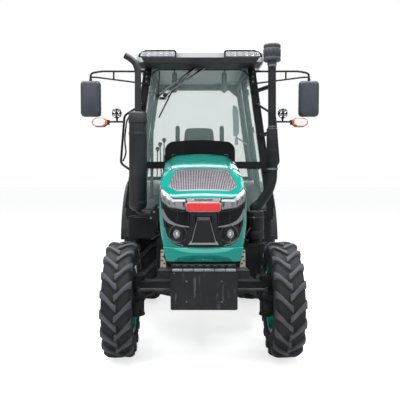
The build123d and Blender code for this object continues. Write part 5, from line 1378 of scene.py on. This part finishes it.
def buildIntake():
    x, s = fitting["intakePlace"]
    pipe = [(0, 1549), (50, 1549), (53, 1553), (53, 1936), (50, 1946), (42, 1950), (0, 1950)]
    hose = [at(x, s, 1562), at(x, s, 1450), at(x - 40, s, 1330), at(x - 116, s + 6, 1226), at(x - 166, s + 10, 1190),
            at(520, 680, 1160)]
    makePiece("intakePipes", "blackPlastic", "black_plastic", (addLathe, pipe, at(x, s, 0), toTop, 44),
              (addTube, [at(x, s, 1944), at(x, s, 2250), at(x, s, 2557)], 38, 36, 60),
              (addTube, hose, [50, 49, 48, 47, 47, 47], 30, 120, 10),
              *((addLathe, [(52.6, -4), (54.6, -1.5), (54.6, 1.5), (52.6, 4)], at(x, s, z), toTop, 44, True)
                for z in fitting["ribHeights"]), stands=("intake_pipe",), smooth=50)
    makePiece("intakeClamps", "brightSteel", "black_plastic", *((addClamp, at(x, s, z), radius, width, 3)
              for z, radius, width in fitting["intakeClamps"]), smooth=35)

    middle = at(*fitting["cleanerPlace"], 0)
    can = [(0, 880), (60, 880), (84, 886), (92, 896), (92, 960), (89, 966), (89, 972), (92, 978), (92, 1080),
           (96, 1084), (96, 1096), (92, 1100), (88, 1150), (76, 1162), (50, 1165), (0, 1165)]
    makePiece("airCleaner", "blackPlastic", "black_plastic", (addLathe, can, middle, toTop, 52),
              (addLathe, [(0, 851), (55, 851), (55, 884), (0, 884)], middle, toTop, 36), stands=("air_cleaner",))
    bm = bmesh.new()
    for turn in fitting["clipTurns"]:
        way = Vector((math.cos(math.radians(turn)), math.sin(math.radians(turn)), 0))
        foot = at(*fitting["cleanerPlace"], 1090) + way * 94 * mm
        addTube(bm, [foot + Vector((0, 0, -22 * mm)), foot + way * 6 * mm, foot + Vector((0, 0, 16 * mm))], 2.6, 8, 20)
    putPiece("cleanerClips", bm, "brightSteel", "black_plastic", smooth=50)

    z = fitting["preCleaner"]
    bowl = [(0, 0), (46, 0), (44, 10), (44, 30), (60, 33), (80, 34), (82, 40), (82, 64), (79, 68), (79, 72), (82, 76),
            (82, 150), (79, 154), (79, 158), (82, 162), (82, 184), (80, 188), (72, 197), (60, 200), (0, 200)]
    makePiece("preCleaner", "mirrorGrey", "black_plastic", (addLathe, bowl, at(x, s, z), toTop, 56),
              stands=("pre_cleaner",))
    bm = bmesh.new()
    addBlock(bm, (-2.2, 2.2), (-84.5, -80), (z + 82, z + 144))
    rib = meshFrom(bm, "ribSource")
    ribs = bmesh.new()
    for i in range(fitting["ribCount"]):
        copy = rib.copy()
        turn = Matrix.Rotation(2 * math.pi * i / fitting["ribCount"], 4, "Z")
        copy.transform(Matrix.Translation(at(x, s, 0)) @ turn @ Matrix.Translation(-at(0, 0, 0)))
        ribs.from_mesh(copy)
    putPiece("preCleanerRibs", ribs, "mirrorGrey", "black_plastic", smooth=30)


def buildRails():
    back = fitting["railBack"]
    # pipes: places as across, behind and up, then radius, count and bend
    pipes = (
        (((560, back, 2560), (1010, back, 2562), (1117, back, 2540), (1117, back, 2470)), 11, 14, 46),
        (((560, back, 2434), (640, back, 2446), (1057, back, 2500), (1117, back, 2500)), 9, 12, 40),
        (((880, back, 2476), (880, back, 2558)), 9, 12, 10),
        (((585, 1040, 2225), (585, back, 2225), (770, back, 2110), (808, back, 1620), (680, back, 1530),
          (680, 1040, 1530)), 12, 14, 34),
        (((700, back, 2130), (748, back, 2060), (770, back, 1860), (752, back, 1720), (786, back, 1640)), 8, 12, 60),
        (((776, back, 2045), (856, back, 2045), (936, back, 2045)), 10, 12, 20),
        (((847, back, 2045), (847, back, 2080)), 9, 12, 20),
    )
    bm = bmesh.new()
    addPrismPair(bm, [(524, 2420), (562, 2420), (562, 2584), (524, 2584)], 976, 1040)
    for side in sides:
        for route, *size in pipes:
            addTube(bm, [at(side * x, s, z) for x, s, z in route], *size)
        for x, z in ((585, 2225), (680, 1530)):
            addDisc(bm, 26, 5, at(side * x, 1040, z), toFront)
    putPiece("sideRails", bm, "satinBlack", "black_paint", ("side_rails",), smooth=50)
    makePiece("railBolts", "brightSteel", "steel", *((addBolt, at(side * 543, 975.5, z), toFront, 7, 6.5)
              for side in sides for z in fitting["railBolts"]), smooth=30)


def roundedOutline(x, z, width, height, radius, steps=6):
    points = []
    for cx, cz, first in ((1, 1, 0), (-1, 1, 90), (-1, -1, 180), (1, -1, 270)):
        for i in range(steps + 1):
            turn = math.radians(first + 90 * i / steps)
            points.append((x + cx * (width - radius) + radius * math.cos(turn),
                           z + cz * (height - radius) + radius * math.sin(turn)))
    return points


def buildMirrors():
    across, height = fitting["mirrorPlace"]

    # a mirror leans in a little towards its foot
    def headOutline(side, *size):
        return [(side * across + x - (side * max(0, -90 - z) * 0.06), height + z)
                for x, z in roundedOutline(0, 0, *size)]

    heads, faces = bmesh.new(), bmesh.new()
    for side in sides:
        rows = []
        # the housing swells forward from its rim and stays inside the head's box
        for depth, grow in ((1018, 0.0), (1010, 0.0), (990, 3), (974, 9), (965, 20), (961, 36)):
            outline = headOutline(side, 104.5 - grow, 185 - grow, max(40 - grow * 0.3, 10))
            rows.append([heads.verts.new(at(x, depth, z)) for x, z in outline])
        for a, b in zip(rows, rows[1:]):
            for i in range(len(a)):
                j = (i + 1) % len(a)
                heads.faces.new((a[i], a[j], b[j], b[i]))
        heads.faces.new(rows[0][::-1])
        heads.faces.new(rows[-1])
        addPrism(faces, headOutline(side, 94, 174, 32), 1018.5, 1021)
    putPiece("mirrorHousings", heads, "mirrorGrey", "black_plastic", ("mirror_heads",), bevel=2, smooth=60)
    putPiece("mirrorGlass", faces, "mirrorFace", "chrome", smooth=30)
    bm = bmesh.new()
    for x in (-across, across):
        addClamp(bm, at(x, 1000, 2472), 11.2, 22, 4)
        addTube(bm, [at(x, 1000, 2466), at(x, 1006, 2420)], 12, 12, 10)
    putPiece("mirrorKnuckles", bm, "wornBlack", "black_plastic", smooth=35)


def buildSideLamps():
    base, ambers, whites, lens, stems, chrome, red = (bmesh.new() for _ in range(7))
    across, height = fitting["sideLampPlace"]
    cloverX, cloverZ = fitting["cloverPlace"]
    rear = fitting["rearLampAcross"]
    outline = [(-84, 20), (-84, -20), (-42, -50), (42, -50), (84, -20), (84, 20), (42, 50), (-42, 50)]
    for side in sides:
        # what it is added to, share of the width and height, shift outwards, near and far
        for bm, wide, tall, shift, near, far in ((base, 0.98, 0.96, 0, 994, 1024), (ambers, 0.95, 0.94, 3, 984, 1004),
                                                 (whites, 0.76, 0.74, 8, 973, 990)):
            addPrism(bm, [(side * (across + shift) + x * wide, height + z * tall) for x, z in outline], near, far)
        inner = side * (across - 84)
        addBlock(stems, (inner - 14, inner + 14), (986, 1022), (height - 24, height + 24))
        # clover of four lenses on a stem
        addLathe(stems, [(0, 0), (34, 0), (46, 8), (49, 20), (49, 40), (46, 44), (0, 44)],
                 at(side * cloverX, 1026, cloverZ), toFront, 32)
        for u, v in ((-1, -1), (1, -1), (1, 1), (-1, 1)):
            place = at(side * cloverX + u * fitting["cloverRadius"], 982, cloverZ + v * fitting["cloverRadius"])
            addLathe(stems, [(17, -6), (22, -6), (22, 8), (19.5, 10), (17, 8)], place, toFront, 24, True)
            addLathe(chrome, [(0, -5), (17, -5), (17, 5), (10, -1), (0, -3)], place, toFront, 24)
            addLathe(lens, [(0, 7), (14, 8), (17, 6), (17, 4), (0, 4)], place, toFront, 24)
        addDisc(stems, 13, 20, at(side * cloverX, 1000, 2070), toTop, 18)
        # rear lamps on the fenders
        addPrism(base, roundedOutline(side * rear, 1310, 40, 79, 10), 2461, 2490)
        addPrism(red, roundedOutline(side * rear, 1350, 34, 34, 8), 2488, 2514)
        addPrism(ambers, roundedOutline(side * rear, 1278, 34, 30, 8), 2488, 2512)
    putPiece("lampBases", base, "blackPlastic", "lamp_lens", ("side_lamps",), bevel=3)
    putPiece("turnAmbers", ambers, "amberPlastic", "lamp_lens", bevel=5, segments=3)
    putPiece("turnLenses", whites, "lampWhite", "lamp_lens", bevel=4, segments=3)
    putPiece("sideLenses", lens, "lampLens", "lamp_lens", bevel=2)
    putPiece("workLampBodies", stems, "satinBlack", "lamp_lens")
    putPiece("workLampBowls", chrome, "chromePlate", "lamp_lens", smooth=50)
    putPiece("rearReds", red, "redPlastic", "lamp_lens", bevel=4, segments=3)


def buildBrackets():
    # straps round the fuel tank, four sides each
    outer, inner = ([(418 + t, 569 + t), (639 - t, 569 + t), (639 - t, 853 - t), (418 + t, 853 - t)] for t in (0, 3.5))
    makePiece("tankStraps", "wornBlack", "steel", *(
        (addPrism, [outer[a], outer[a - 3], inner[a - 3], inner[a]], s - 18, s + 18)
        for s in fitting["strapPlaces"] for a in range(4)), bevel=1.2)
    makePiece("bracketBolts", "brightSteel", "steel",
              *((addBolt, at(x, 588, z), toFront, 8, 7) for x, z in fitting["bracketBolts"]), smooth=30)
    plate = [(-500, 1060), (-352, 1060), (-352, 1210), (-380, 1226), (-420, 1226), (-500, 1110)]
    makePiece("stackBracket", "blackPaint", "steel", (addPrism, plate, 588, 594), bevel=1.5)
    hoses = (([at(-700, 780, 1087), at(-640, 770, 1100), at(-560, 760, 1100), at(-470, 740, 1092)], 9),
             ([at(470, 600, 1000), at(440, 570, 960), at(400, 556, 880), at(360, 556, 760)], 8),
             ([at(-250, 600, 940), at(-330, 580, 960), at(-420, 640, 920), at(-470, 700, 880)], 8))
    makePiece("sideHoses", "blackPlastic", "rubber", *((addTube, route, radius, 10, 40) for route, radius in hoses),
              smooth=60)


buildExhaust()
buildIntake()
buildRails()
buildMirrors()
buildSideLamps()
buildBrackets()
print("fittings ready")


# The CAD nodes that stay: their finishes by material name or by node, and the width of their softened edges
nodeFinishes = {
    "teal_paint": "tealPaint", "black_paint": "blackPaint", "white_paint": "whitePaint", "cast_grey": "castGrey",
    "tyre": "tyreRubber", "rubber": "tyreRubber", "steel": "brightSteel", "chrome": "chromePlate",
    "black_plastic": "blackPlastic", "grey_mesh": "greyMesh", "red_plastic": "redPlastic", "lamp_lens": "lampLens",
    "cab_glass": "cabGlass", "seat_cloth": "seatCloth",
}
nodeSpecials = {
    "steering_rod": "wornBlack", "steering_cylinder": "satinBlack", "weight_plate": "scuffedBlack",
    "cowl": "glossBlack", "lift_rods": "wornBlack",
}
nodeEdges = {
    "cab_roof": 14, "fenders": 5, "roof_visor": 5, "seat_base": 8, "battery_box": 6, "fuel_tank": 16, "engine": 6,
    "dash_column": 6, "gearbox": 6, "rear_axle": 6, "windscreen": 0, "rear_glass": 0, "door_glass_left": 0,
    "door_glass_right": 0,
}
nodeLook = {"usualEdge": 3, "segments": 2, "angle": 32, "weld": 0.02}


def dressNode(obj, finish, width):
    obj.data.materials.clear()
    obj.data.materials.append(materials[finish])
    if width:
        obj.modifiers.new("weld", "WELD").merge_threshold = nodeLook["weld"] * mm
        addSoftEdges(obj, width, nodeLook["segments"], nodeLook["angle"], True)


for name, obj in nodes.items():
    slot = obj.data.materials[0].name.split(".")[0]
    dressNode(obj, nodeSpecials.get(name, nodeFinishes[slot]), nodeEdges.get(name, nodeLook["usualEdge"]))
print("nodes dressed:", len(nodes))
